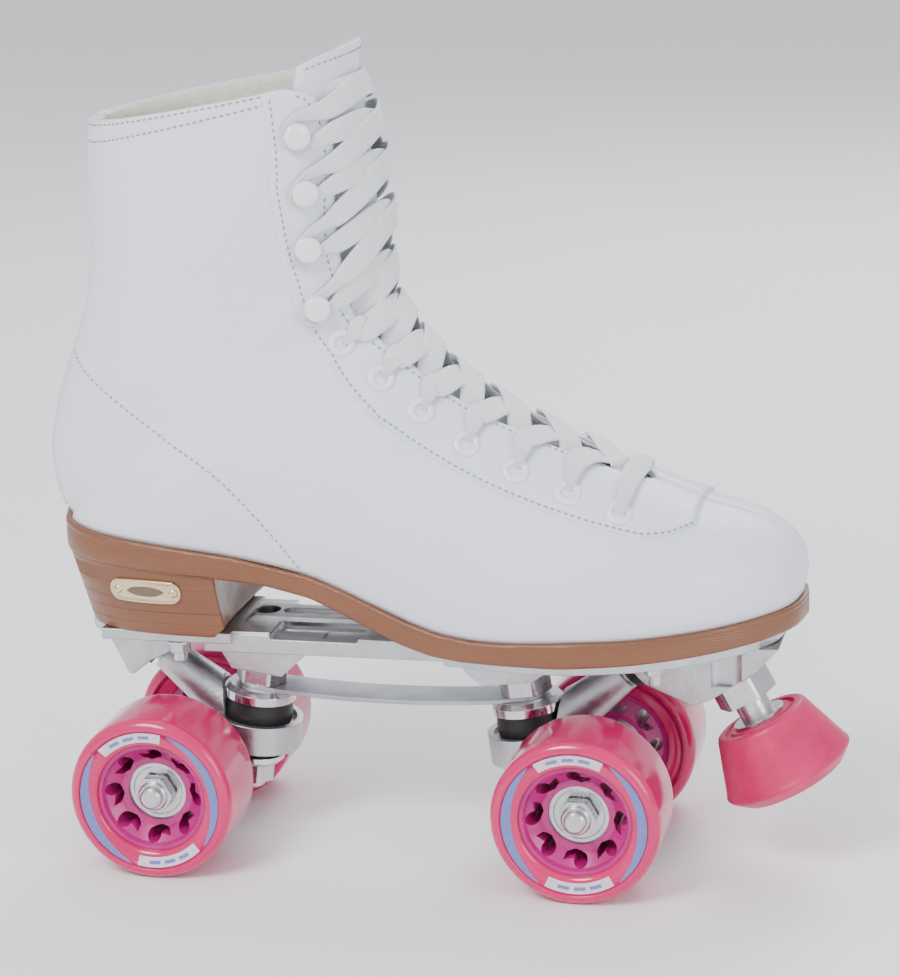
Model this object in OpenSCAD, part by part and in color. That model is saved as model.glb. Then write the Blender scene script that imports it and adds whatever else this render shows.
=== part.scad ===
// Quad roller skate, right foot: a laced high boot on an aluminium plate with two
// double-action trucks, four wheels and an adjustable toe stop.
// Millimetres, +X to the toe, +Y to the inner side of the foot, +Z up, wheels on Z = 0.

/* [Wheels] */
// Wheel diameter
wheel_d = 61.6; // [57:0.2:62]
// Wheel width
wheel_w = 33; // [31:0.5:34]
// Distance between the two axles
wheelbase = 157.4; // [156:0.2:159]
// Distance between the outer faces of a pair of wheels
track = 112.6; // [112:0.2:116]

/* [Trucks] */
// Kingpin lean from vertical, degrees
kingpin_lean = 8; // [6:1:10]
// Kingpin diameter
kingpin_d = 9.5; // [9:0.5:10]
// Axle diameter
axle_d = 8; // [7.9:0.1:8]

/* [Toe stop] */
// Lean of the toe stop's stem from vertical, degrees
stop_lean = 28; // [27:1:29]
// Stem diameter
stop_stem_d = 12.7; // [12:0.1:12.7]
// Widest diameter of the rubber
stop_d = 50; // [46:1:51]

/* [Boot] */
// Thickness of the outer leather
leather = 1.5; // [1.2:0.1:1.6]
// Thickness of the felt lining
felt = 1.4; // [1:0.1:1.5]
// How far the outsole stands out past the upper
welt = 2.2; // [1.5:0.1:2.6]
// Lace width
lace_w = 8; // [6:0.5:9]

/* [Hidden] */
$fn = 64;
BIG = 200; // longer than anything that it cuts

/* ---- the last: the boot's outer surface ---- */
// Each station is one ring round the foot: the ring's lower or rear end (x, z), its upper
// or front end (x, z), its half width at the lower end, its greatest half width, and the
// power of its rounded section. The rings fan from the toe round the heel to the collar.
stations = [
  [152.3, 100.5, 154.6, 110.5, 0, 0, 2.2],
  [150.3, 100.2, 152.4, 118, 11.5, 13, 2.3],
  [145, 99.6, 145, 125.5, 20.5, 23, 2.35],
  [134, 98.3, 133.5, 131, 29.5, 32.5, 2.3],
  [118, 96.9, 117.5, 135.8, 37.5, 40.5, 2.15],
  [98, 95.4, 101, 142.5, 42.5, 44.8, 2],
  [76, 94.4, 84, 150.5, 44, 46, 1.9],
  [52, 93, 66, 159.5, 42.5, 44.5, 1.85],
  [28, 94.3, 47, 170.5, 38.5, 42, 1.8],
  [4, 102, 31, 182, 34.5, 39.5, 1.75],
  [-22, 111.6, 19, 194, 32, 37.8, 1.75],
  [-50, 117.1, 11.5, 203.5, 31.2, 36.6, 1.8],
  [-80, 120.6, 8, 212, 30.6, 35.4, 1.85],
  [-102, 122.8, 6.2, 220, 26, 34.2, 1.9],
  [-116, 124.2, 5.8, 227.5, 15.5, 33.6, 1.95],
  [-121.6, 125, 6, 234.5, 0, 33.4, 2],
  [-125.8, 137, 6.2, 241.5, 0, 33.6, 2],
  [-126.3, 151, 5.7, 248.5, 0, 34.2, 2.05],
  [-122.4, 168, 4.8, 255.5, 0, 35, 2.1],
  [-115.5, 187, 3.6, 262, 0, 36, 2.15],
  [-108.6, 206, 2.2, 268.5, 0, 37, 2.2],
  [-105.4, 228, 0.5, 275.5, 0, 38, 2.2],
  [-104.3, 250, -2, 283, 0, 38.8, 2.2],
  [-102.3, 273.5, -5, 290, 0, 39.5, 2.2]];
LAST = len(stations) - 1;
HEEL_END = 15; // the station where the sole's outline closes behind the heel
THROAT = 5;    // the station where the lace opening starts
// How far the ring's lower end leans to +X as the surface is offset
lean_keys = [[0, 1], [1, 0.8], [2, 0.5], [3, 0.25], [4, 0], [12, 0], [13, -0.45], [14, -0.85],
  [15, -1], [LAST, -1]];
// Half width of the lace opening
gap_keys = [[5, 0], [5.3, 6], [6, 9], [8, 13], [10, 15], [12, 17.5], [15, 20], [18, 22],
  [21.5, 23], [22.4, 25], [23, 32]];
// How far up the ring the facing's lower edge lies
facing_keys = [[3.8, 0.99], [4, 0.9], [4.5, 0.79], [5, 0.735], [6, 0.715], [8, 0.71],
  [10, 0.69], [12, 0.765], [14, 0.78], [16, 0.765], [18, 0.745], [20, 0.72], [23, 0.75]];
// Stations of the eyelets and of the hooks
eyelet_s = [5.5, 6.48, 7.43, 8.35, 9.36, 10.43, 12];
hook_s = [14.1, 17, 19.35, 21.4];
row_s = concat(eyelet_s, hook_s);
row_h = 0.82; // how far up the ring the eyelets and hooks stand

function clamp(v, lo, hi) = max(lo, min(hi, v));
function cubic(a, b, c, d, t) =
  b + 0.5 * t * (c - a + t * (2 * a - 5 * b + 4 * c - d + t * (3 * (b - c) + d - a)));
function raw(i, col) = stations[clamp(i, 0, LAST)][col];
function st(s, col) = let (i = clamp(floor(s), 0, LAST - 1), t = s - i)
  cubic(raw(i - 1, col), raw(i, col), raw(i + 1, col), raw(i + 2, col), t);
function lean(s) = lookup(s, lean_keys);
function side_share(s) = s < 4 ? sqrt(max(0, 1 - pow(lean(s), 2))) : 1;
// The foot's curve in plan: the toe leans to the inner side
function foot_bend(x) = x > -20 ? 6 * pow((x + 20) / 170, 2) - 2.5 * sin(180 * (x + 20) / 170) : 0;
function top_rail(s) = [st(s, 2), st(s, 3)];
function rail_out(s) = let (a = top_rail(max(0, s - 0.1)), b = top_rail(min(LAST, s + 0.1)),
  d = b - a) [d[1], -d[0]] / norm(d);
// Lower and upper ends, lower and greatest half widths, and power of the ring at s, offset by off
function ring(s, off) = let (low = [st(s, 0), st(s, 1)] + [off * lean(s), 0],
  high = top_rail(s) + off * rail_out(s), greatest = max(0, st(s, 5) + off * side_share(s)),
  least = s >= HEEL_END ? 0 : clamp(st(s, 4) + off * side_share(s) * (s > 12 ? sqrt(1 - pow(lean(s), 2)) : 1),
  0, greatest)) [low, high, least, greatest, st(s, 6)];
function low_angle(r) = r[3] <= 0 ? 0 : -acos(pow(clamp(r[2] / r[3], 0, 1), r[4] / 2));
function power_sin(a, n) = sign(a) * pow(abs(sin(a)), 2 / n);
// Point at angle a up the ring (90 is the ridge), on side -1 (lateral) or 1 (medial)
function skin_at(s, a, side, off) = let (r = ring(s, off), z0 = power_sin(low_angle(r), r[4]),
  h = (power_sin(a, r[4]) - z0) / (1 - z0), p = r[0] + h * (r[1] - r[0]),
  y = r[3] * pow(max(0, cos(a)), 2 / r[4]))
  [p[0], side * (abs(a) >= 89.99 ? 0 : y) + foot_bend(p[0]), p[1]];
// The first ring is a straight line at the tip of the toe
function tip_at(r, u) = let (p = r[0] + u * (r[1] - r[0])) [p[0], foot_bend(p[0]), p[1]];
function skin(s, u, side, off) = let (r = ring(s, off), a0 = low_angle(r))
  r[3] <= 0 ? tip_at(r, u) : skin_at(s, a0 + (90 - a0) * u, side, off);
// The share u of the way up the ring where the half width is y, and where the height share is h
function u_of_angle(s, a) = let (a0 = low_angle(ring(s, 0))) (a - a0) / (90 - a0);
function u_of_gap(s) = s <= THROAT ? 1 : let (g = lookup(s, gap_keys), r = ring(s, 0))
  u_of_angle(s, acos(pow(clamp(g / r[3], 0, 1), r[4] / 2)));
function u_of_height(s, h) = let (r = ring(s, 0), z0 = power_sin(low_angle(r), r[4]),
  z = z0 + h * (1 - z0)) u_of_angle(s, sign(z) * asin(min(1, pow(abs(z), r[4] / 2))));
function out_normal(s, u, side) = let (d = 0.02,
  e = skin(s + d, u, side, 0) - skin(s - d, u, side, 0),
  f = skin(s, min(1, u + d), side, 0) - skin(s, u - d, side, 0), n = -side * cross(f, e)) n / norm(n);

// A closed shell between two offsets over a grid of rows, each row holding u values
function grid_faces(rows, cols, flip) = let (n = rows * cols,
  quad = function (a, b, c, d) [[a, b, c], [a, c, d]],
  out = [for (i = [0:rows - 2], j = [0:cols - 2]) each quad(i * cols + j, i * cols + j + 1,
    (i + 1) * cols + j + 1, (i + 1) * cols + j)],
  inn = [for (f = out) [f[2] + n, f[1] + n, f[0] + n]],
  low = [for (i = [0:rows - 2]) each quad(i * cols, (i + 1) * cols, (i + 1) * cols + n, i * cols + n)],
  high = [for (i = [0:rows - 2]) each quad(i * cols + cols - 1, i * cols + cols - 1 + n,
    (i + 1) * cols + cols - 1 + n, (i + 1) * cols + cols - 1)],
  first = [for (j = [0:cols - 2]) each quad(j, j + n, j + 1 + n, j + 1)],
  k = (rows - 1) * cols,
  final = [for (j = [0:cols - 2]) each quad(k + j, k + j + 1, k + j + 1 + n, k + j + n)],
  all = concat(out, inn, low, high, first, final))
  flip ? [for (f = all) [f[2], f[1], f[0]]] : all;
module shell(s_list, u_from, u_to, cols, side, inner, outer) {
  pts = function (off) [for (s = s_list, j = [0:cols - 1]) let (a = u_from(s), b = u_to(s))
    skin(s, a + (b - a) * j / (cols - 1), side, off)];
  polyhedron(concat(pts(outer), pts(inner)), grid_faces(len(s_list), cols, side < 0));
}
function steps(a, b, n) = [for (i = [0:n]) a + (b - a) * i / n];

module upper(side) {
  s_list = concat([0, 0.5], steps(1, LAST, 2 * (LAST - 1)));
  color("white") place() shell(s_list, function (s) 0, function (s) u_of_gap(s) - 0.002, 13, side, -leather, 0);
}
module facing(side) {
  color("white") place() shell(steps(4, LAST, 30), function (s) u_of_height(s, lookup(s, facing_keys)),
    function (s) u_of_gap(s) - 0.001, 4, side, 0.45, 1.2);
}
module backstay() {
  edge = function (s) 0.075;
  s_list = steps(HEEL_END + 0.2, LAST, 15);
  color("gainsboro") place() for (side = [-1, 1])
    shell(s_list, function (s) 0, edge, 3, side, 0.35, 1.1);
}
module heel_stiffener() {
  s_list = steps(12.5, 18.5, 12);
  top = function (s) 0.42 - 0.3 * pow(max(0, s - 15) / 3.5, 2);
  color("tan") place() for (side = [-1, 1])
    shell(s_list, function (s) 0.05, top, 8, side, -leather - 1.15, -leather - 0.45);
}
module lining(side) {
  inner = -leather - 1.5 - felt;
  s_list = concat([2], steps(3, LAST, 30));
  color("ivory") place() shell(s_list, function (s) s < HEEL_END ? 0.05 : 0, function (s) u_of_gap(s) - 0.01,
    9, side, inner, inner + felt);
}
module tongue() {
  reach = function (s) u_of_angle(s, 52);
  // The last ring's shape, carried on above the collar
  lift = 11;
  s_list = steps(THROAT + 0.7, LAST, 22);
  half = function (s, off) [for (j = [0:4]) let (u = reach(s) + (1 - reach(s)) * j / 4) skin(s, u, -1, off)];
  other = function (s, off) [for (j = [3:-1:0]) let (u = reach(s) + (1 - reach(s)) * j / 4) skin(s, u, 1, off)];
  row = function (s, off, up) [for (p = concat(half(s, off), other(s, off)), y = [abs(p[1]) / 24])
    p + up * [-0.28, 0, 1 - 0.5 * y * y]];
  pts = function (off) concat([for (s = s_list) each row(s, off, 0)], row(LAST, off, lift));
  color("white") place() polyhedron(concat(pts(-5.2), pts(-8.6)), grid_faces(len(s_list) + 1, 9, true));
}

/* ---- lacing ---- */
module on_skin(s, u, side, off) {
  n = out_normal(s, u, side);
  p = skin(s, u, side, 0) + n * off;
  translate(p) rotate([0, acos(n[2]), atan2(n[1], n[0])]) children();
}
module eyelet() {
  rotate_extrude() polygon([[2.4, -1.8], [3, -1.8], [3, 0], [4.9, 0], [5, 0.5], [4.2, 1.1], [2.8, 1], [2.4, 0.2]]);
}
module eyelets() {
  color("white") place() for (s = eyelet_s, side = [-1, 1]) on_skin(s, u_of_height(s, row_h), side, 1.6) eyelet();
}
module hook() {
  // a rivet base, a neck and a round cap, in one stamping
  cylinder(d = 8.4, h = 0.8);
  translate([0, 0, 0.5]) cylinder(d = 4.6, h = 3.2);
  translate([0, 0, 3.4]) cylinder(d1 = 9.4, d2 = 8, h = 1.1);
}
module lace_hooks() {
  color("white") place() for (s = hook_s, side = [-1, 1]) on_skin(s, u_of_height(s, row_h), side, 1.7) hook();
}
// Lace straps: each crosses the tongue from a lower eyelet to the next higher one opposite
function over(s, a, off) = let (side = a < 0 ? -1 : 1, p = skin_at(s, 90 - abs(a), side, off)) p;
function row_angle(k) = let (s = row_s[k], a0 = low_angle(ring(s, 0)))
  90 - (a0 + (90 - a0) * u_of_height(s, row_h)) - 9;
module strap(k, m, side, off) {
  n = 10;
  at = function (t) let (s = row_s[k] + (row_s[m] - row_s[k]) * t,
    a = side * (-row_angle(k) + (row_angle(k) + row_angle(m)) * t)) over(s, a, off);
  rows = [for (i = [0:n]) let (t = 0.04 + 0.92 * i / n, p = at(t), d = at(t + 0.03) - at(t - 0.03),
    e = over(row_s[k] + 0.3, side * (-row_angle(k) + (row_angle(k) + row_angle(m)) * t), off)
      - over(row_s[k] - 0.3, side * (-row_angle(k) + (row_angle(k) + row_angle(m)) * t), off),
    f = d / norm(d), g0 = e - (e * f) * f, g = g0 / norm(g0), up = cross(f, g) * -side,
    wide = g * lace_w / 2, thick = (up[0] + up[2] > 0 ? up : -up) * 0.5)
    each [p - wide + thick, p + wide + thick, p + wide - thick, p - wide - thick]];
  faces = concat([for (i = [0:n - 1], j = [0:3]) let (a = 4 * i + j, b = 4 * i + (j + 1) % 4)
    each [[a, b, b + 4], [a, b + 4, a + 4]]], [[3, 2, 1, 0]], [[4 * n, 4 * n + 1, 4 * n + 2, 4 * n + 3]]);
  polyhedron(rows, side > 0 ? faces : [for (f = faces) [for (i = [len(f) - 1:-1:0]) f[i]]]);
}
module laces() {
  color("white") place() {
    strap(0, 0, 1, 4.6);
    for (k = [0:len(row_s) - 2]) {
      strap(k, k + 1, 1, 3.4);
      strap(k, k + 1, -1, 5);
    }
  }
}

/* ---- sole ---- */
sole_top = [[-130, 125.6], [-121.6, 125], [-102, 122.8], [-80, 120.6], [-50, 117.1], [-22, 111.6],
  [-8, 106.9], [4, 102], [16, 97.5], [28, 94.3], [40, 92.9], [52, 93], [76, 94.4], [98, 95.4],
  [118, 96.9], [134, 98.3], [145, 99.6], [160, 101]];
sole_low = [[-130, 113.6], [-100, 112], [-58.5, 109], [-39, 107.4], [-21, 103.4], [-9, 98.6],
  [3, 93.2], [14, 88.9], [25, 86], [36, 85], [73, 85], [97, 86.4], [114, 87.8], [126, 88.9], [138, 90.2],
  [160, 93]];
plate_top = 85;
function flip(list) = [for (i = [len(list) - 1:-1:0]) list[i]];
function moved(list, dz) = [for (p = list) [p[0], p[1] + dz]];
function outline(off, from, to) = let (s_list = steps(0, HEEL_END, 45),
  a = [for (s = s_list) let (p = skin(s, 0, -1, off)) if (p[0] >= from && p[0] <= to) [p[0], p[1]]],
  b = [for (s = s_list) let (p = skin(s, 0, 1, off)) if (p[0] >= from && p[0] <= to) [p[0], p[1]]])
  concat(a, [for (i = [len(b) - 1:-1:0]) if (norm(b[i] - a[i]) > 0.01) b[i]]);
module side_view(points, w) {
  translate([0, w / 2, 0]) rotate([90, 0, 0]) linear_extrude(w) polygon(points);
}
module plan_view(off) {
  linear_extrude(BIG) polygon(outline(off, -BIG, BIG));
}
module outsole() {
  color("sienna") place() intersection() {
    plan_view(welt);
    side_view(concat(sole_low, flip(sole_top)), BIG);
  }
}
module lasting_board() {
  color("burlywood") place() intersection() {
    plan_view(-leather - felt - 2.2);
    side_view(concat(moved(sole_top, 0.1), flip(moved(sole_top, 2.1))), BIG);
  }
}
module footbed() {
  color("lightgray") place() intersection() {
    plan_view(-leather - felt - 3);
    side_view(concat(moved(sole_top, 2.2), flip(moved(sole_top, 5.2))), BIG);
  }
}
heel_breast = -58.5;
heel_top = 114.5;
module heel_slab(off, z) {
  translate([0, 0, z]) linear_extrude(0.01) polygon(outline(off, -BIG, heel_breast));
}
// The heel's outer wall, moved out by off
module heel_wall(off) {
  hull() {
    heel_slab(welt - 0.6 + off, heel_top);
    translate([3.5, 0, 0]) heel_slab(off - 3, plate_top);
  }
}
module heel_block() {
  profile = [[-130, plate_top], [heel_breast - 8, plate_top], [heel_breast, plate_top + 6],
    [heel_breast, 109], [-100, 112], [-130, 113.6]];
  color("sienna") place() intersection() {
    heel_wall(0);
    side_view(profile, BIG);
  }
}
badge_at = [-84.5, 102.3];
badge_w = 9.4;
badge_pitch = 19; // between the centres of the badge's round ends
rivet_x = 11;
module on_heel(x) {
  // the heel's outer wall at the badge's height: it turns in towards the back
  translate([badge_at[0] + x, -30.7 + 0.5 * pow(max(0, 6 - x) / 17, 2) * 4.4, badge_at[1]])
    rotate([90, 0, 0]) rotate([-5.3, 0, 0]) children();
}
module badge() {
  color("khaki") place() difference() {
    intersection() {
      heel_wall(0.9);
      translate([badge_at[0], -20, badge_at[1]]) rotate([90, 0, 0]) linear_extrude(20) union() {
        square([badge_pitch, badge_w], center = true);
        for (x = [-1, 1]) translate([x * badge_pitch / 2, 0]) circle(d = badge_w);
      }
    }
    heel_wall(0.02);
    for (x = [-rivet_x, rivet_x]) on_heel(x) translate([0, 0, -3]) cylinder(d = 2.1, h = 8);
  }
}
module badge_rivets() {
  color("gold") place() for (x = [-rivet_x, rivet_x]) on_heel(x) {
    translate([0, 0, -2]) cylinder(d = 2, h = 3);
    translate([0, 0, 1]) cylinder(d1 = 3.2, d2 = 1.6, h = 0.6);
  }
}

/* ---- plate ---- */
wheel_r = wheel_d / 2;
axle_x = wheelbase / 2;
ring_c = [53.6, 41];          // centre of the hanger's ring, (x, z), front truck
pivot_tip = [97, 76];         // end of the pivot pin, (x, z)
steer = pivot_tip - ring_c;
steer_angle = atan2(steer[1], steer[0]);
steer_len = norm(steer);
boss_t = 26.3;                // along the kingpin, from the ring's centre to the plate's boss
module front_and_rear() {
  children();
  mirror([1, 0, 0]) children();
}
module along_kingpin(t) {
  translate([ring_c[0], 0, ring_c[1]]) rotate([0, -kingpin_lean, 0]) translate([0, 0, t]) children();
}
module along_steer(t) {
  translate([ring_c[0], 0, ring_c[1]]) rotate([0, 90 - steer_angle, 0]) translate([0, 0, t]) children();
}
stop_top = [137.3, 54.2];     // centre of the rubber's upper face, (x, z)
module along_stop(t) {
  translate([stop_top[0], 0, stop_top[1]]) rotate([0, -stop_lean, 0]) translate([0, 0, t]) children();
}
stop_seat_t = 17.4;           // along the stem, from the rubber to the plate's boss
bolt_r = 2.5;
bolts = [[103, 27], [103, -22], [-76, 19], [-76, -19]];
module plate_solid() {
  // heel pad, with a round tail
  translate([0, 0, plate_top - 4]) linear_extrude(4) union() {
    translate([-80, 0]) square([50, 46], center = true);
    translate([-98, 0]) circle(d = 34);
    translate([-58, 0]) square([40, 40], center = true);
  }
  // arch: a channel with two flanges and a spine
  translate([-20, 0, 79.5]) cube([92, 38, 4], center = true);
  for (y = [-18.5, 18.5]) translate([-20, y, 80.5]) cube([92, 3.6, 7], center = true);
  side_view([[-60, 80], [18, 80], [10, 86], [4, 87.5], [-50, 87.5], [-56, 84]], 15);
  // toe pad, under the sole
  intersection() {
    linear_extrude(BIG) polygon(outline(-6.5, 22, 151));
    side_view(concat([[22, 80.2], [36, 80], [73, 80], [97, 81.2], [126, 83.4], [138, 84.6], [151, 86]],
      flip([for (p = sole_low) if (p[0] > 22) p])), BIG);
  }
  // kingpin bosses and the webs beside them
  side_view([[-64, 82], [-57, 69.5], [-38, 67], [-27, 77], [-22, 82]], 34);
  side_view([[22, 82], [28, 76], [38, 67], [57, 69.5], [66, 76], [70, 82]], 34);
  // pivot housings
  side_view([[-105.5, 82], [-105, 78], [-98.5, 64.5], [-96.5, 64.5], [-89.5, 70], [-64, 82]], 27);
  side_view([[86, 82], [89.5, 78], [96.5, 70.5], [98, 69.4], [115, 62], [122, 65], [138, 76], [146, 85]], 27);
  // seat of the toe stop
  along_stop(stop_seat_t) cylinder(d = 23, h = 13);
}
module plate() {
  color("silver") place() difference() {
    plate_solid();
    front_and_rear() {
      along_kingpin(0) cylinder(d = kingpin_d + 0.1, h = 60);
      along_steer(0) cylinder(r = 7.2, h = steer_len + 2.5);
      // room for the arm, below the pivot's mouth
      along_steer(0) cylinder(r = 10, h = steer_len - 10);
    }
    along_stop(0) cylinder(d = stop_stem_d + 0.1, h = 34.2);
    along_stop(0) cylinder(r = 12.6, h = stop_seat_t - 0.05);
    for (p = bolts) translate([p[0], p[1], 60]) cylinder(r = bolt_r + 0.1, h = 40);
    // lightening slots in the spine and the toe pad
    translate([-24, 0, 84]) rotate([90, 0, 0]) linear_extrude(BIG, center = true) slot(34, 3);
    translate([-22, 0, 70]) linear_extrude(30) slot(38, 6);
    for (y = [-17, 17]) translate([127, y + 2, 70]) linear_extrude(30) slot(12, 7);
  }
}
module slot(length, wide) {
  square([length - wide, wide], center = true);
  for (x = [-1, 1]) translate([x * (length - wide) / 2, 0]) circle(d = wide);
}
module mounting_bolts() {
  // screws up through the plate, into the sole and the heel
  color("lightgray") place() for (p = bolts) translate([p[0], p[1], 73]) {
    cylinder(r = bolt_r, h = 24 - (p[0] > 0 ? 6 : 0));
  }
}
module mounting_nuts() {
  color("lightgray") place() for (p = bolts) translate([p[0], p[1], 0]) {
    z = p[0] > 0 ? 81.4 : 81;
    translate([0, 0, z - 4.6]) difference() {
      union() {
        cylinder(d = 8.6, h = 3.6, $fn = 6);
        translate([0, 0, 3.6]) cylinder(d = 10.6, h = 0.9);
      }
      translate([0, 0, -1]) cylinder(r = bolt_r + 0.05, h = 8);
    }
  }
}

/* ---- trucks ---- */
module kingpins() {
  color("silver") place() front_and_rear() along_kingpin(-23) {
    cylinder(d = kingpin_d, h = 23 + 40);
    translate([0, 0, -0.8]) cylinder(d1 = kingpin_d - 2, d2 = kingpin_d, h = 0.8);
  }
}
module ring_nut(flats, h, bore) {
  difference() {
    intersection() {
      cylinder(d = flats / cos(30), h = h, $fn = 6);
      cylinder(d = flats * 1.11, h = h);
    }
    translate([0, 0, -1]) cylinder(d = bore, h = h + 2);
  }
}
module jam_nuts() {
  color("lightgray") place() front_and_rear() along_kingpin(boss_t - 6.8) ring_nut(17.5, 6.7, kingpin_d + 0.1);
}
module cup(r, h) {
  // a pressed dish that opens to -Z
  rotate_extrude() polygon([[kingpin_d / 2 + 0.1, h], [kingpin_d / 2 + 0.1, h - 1.2], [r - 2.6, h - 1.2],
    [r - 1.2, h - 2.4], [r - 1.2, 0], [r, 0], [r, h - 1.8], [r - 1.8, h]]);
}
module upper_cups() {
  color("silver") place() front_and_rear() along_kingpin(12.9) cup(13.6, 4.9);
}
module lower_cups() {
  color("silver") place() front_and_rear() along_kingpin(-9.3) mirror([0, 0, 1]) cup(11.2, 3.8);
}
module kingpin_nuts() {
  color("lightgray") place() front_and_rear() along_kingpin(-20.6) ring_nut(14.3, 7.4, kingpin_d + 0.1);
}
module cushion(points) {
  rotate_extrude() polygon(points);
}
module upper_cushion() {
  bore = kingpin_d / 2 + 0.4;
  along_kingpin(0) cushion([[bore, 2.8], [12.2, 2.8], [12.6, 4], [12.9, 8], [12.3, 12.6], [12.3, 15.2],
    [10.8, 16.4], [bore, 16.4]]);
}
module lower_cushion() {
  bore = kingpin_d / 2 + 0.4;
  along_kingpin(0) cushion([[bore, -2.8], [bore, -11.7], [8.4, -11.7], [9.8, -10.4], [9.8, -9], [11, -6.8],
    [10.8, -4], [10.4, -2.8]]);
}
module tie_strap() {
  end_x = ring_c[0] - 18.6 * sin(kingpin_lean);
  end_z = ring_c[1] + 18.6 * cos(kingpin_lean);
  slope = tan(kingpin_lean);
  thick = 1.5;
  low = end_z - 26 * slope * 0.5;
  line = concat([[end_x + 12, end_z + 12 * slope], [end_x - 11, end_z - 11 * slope]],
    [for (i = [1:6]) let (t = i / 6, x = (end_x - 11) * (1 - t)) [x, end_z - 11 * slope
    - 20 * slope * (t - t * t / 2) * 1.2]]);
  right = [for (p = line) [p[0], p[1] - thick / 2]];
  left = [for (p = line) [p[0], p[1] + thick / 2]];
  half = concat(right, flip(left));
  color("lightgray") place() difference() {
    intersection() {
      union() {
        side_view(half, BIG);
        mirror([1, 0, 0]) side_view(half, BIG);
      }
      linear_extrude(BIG) union() {
        square([2 * end_x, 17], center = true);
        for (x = [-1, 1]) translate([x * end_x, 0]) circle(d = 17);
      }
    }
    front_and_rear() along_kingpin(0) cylinder(d = kingpin_d + 0.3, h = 40);
  }
}
module pivot_cups() {
  color("dimgray") place() front_and_rear() along_steer(steer_len - 9.5) rotate_extrude()
    polygon([[4.25, 0], [7.1, 0], [7.1, 11.9], [0, 11.9], [0, 9.9], [4.25, 9.9]]);
}
housing_w = 42;
module hanger() {
  difference() {
    union() {
      along_kingpin(-5.5) cylinder(r = 17, h = 11);
      // axle tube
      translate([axle_x, housing_w / 2, wheel_r]) rotate([90, 0, 0]) cylinder(r = 8.2, h = housing_w);
      // web from the ring to the axle tube
      side_view([[64, 36], [78, 23], [86, 29], [84, 38], [78, 46], [66, 47]], 20);
      // pivot arm
      along_steer(14) cylinder(r1 = 9.4, r2 = 6.2, h = steer_len - 25.5);
      along_steer(steer_len - 12) cylinder(r = 4.2, h = 12);
    }
    along_kingpin(-30) cylinder(r = 7, h = 60);
    along_kingpin(2.6) cylinder(r = 14.6, h = 18);
    along_kingpin(-14.6) cylinder(r = 11.4, h = 12);
    translate([axle_x, BIG / 2, wheel_r]) rotate([90, 0, 0]) cylinder(d = axle_d + 0.04, h = BIG);
  }
}
axle_end = track / 2 - 1.4;
bearing_out = track / 2 - 11;       // outer face of the outer bearing
bearing_w = 7;
bearing_in = track / 2 - wheel_w + 1.2; // inner face of the inner bearing
nut_h = 6.4;
module across(y) {
  // local +Z points to the lateral side from the axle's middle
  translate([axle_x, -y, wheel_r]) rotate([90, 0, 0]) children();
}
module axle() {
  across(-axle_end + 0.8) cylinder(d = axle_d, h = 2 * axle_end - 1.6);
  for (m = [0, 1]) mirror([0, m, 0]) across(axle_end - 0.8) cylinder(d1 = axle_d, d2 = axle_d - 1.6, h = 0.8);
}
module axle_nuts() {
  for (m = [0, 1]) mirror([0, m, 0]) across(bearing_out + 0.9) {
    ring_nut(12.7, nut_h - 1.6, axle_d + 0.04);
    translate([0, 0, nut_h - 1.7]) rotate_extrude() polygon([[axle_d / 2 + 0.05, 0], [5.6, 0], [5.4, 1],
      [4.8, 1.6], [axle_d / 2 + 0.05, 1.6]]);
  }
}
module washer_ring(t) {
  difference() {
    cylinder(d = 12, h = t);
    translate([0, 0, -1]) cylinder(d = axle_d + 0.04, h = t + 2);
  }
}
module axle_washers() {
  for (m = [0, 1]) mirror([0, m, 0]) {
    across(bearing_out + 0.05) washer_ring(0.8);
    across(housing_w / 2 + 0.05) washer_ring(bearing_in - housing_w / 2 - 0.1);
  }
}
module both_bearings() {
  for (y = [bearing_in, bearing_out - bearing_w]) across(y) children();
}
module bearing_inners() {
  for (m = [0, 1]) mirror([0, m, 0]) {
    both_bearings() rotate_extrude() polygon([[axle_d / 2 + 0.02, 0], [6, 0], [6, bearing_w], [axle_d / 2 + 0.02, bearing_w]]);
    // spacer sleeve between the two bearings
    across(bearing_in + bearing_w) rotate_extrude() polygon([[axle_d / 2 + 0.02, 0.02], [5, 0.02],
      [5, bearing_out - bearing_in - 2 * bearing_w - 0.02], [axle_d / 2 + 0.02, bearing_out - bearing_in - 2 * bearing_w - 0.02]]);
  }
}

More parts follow.
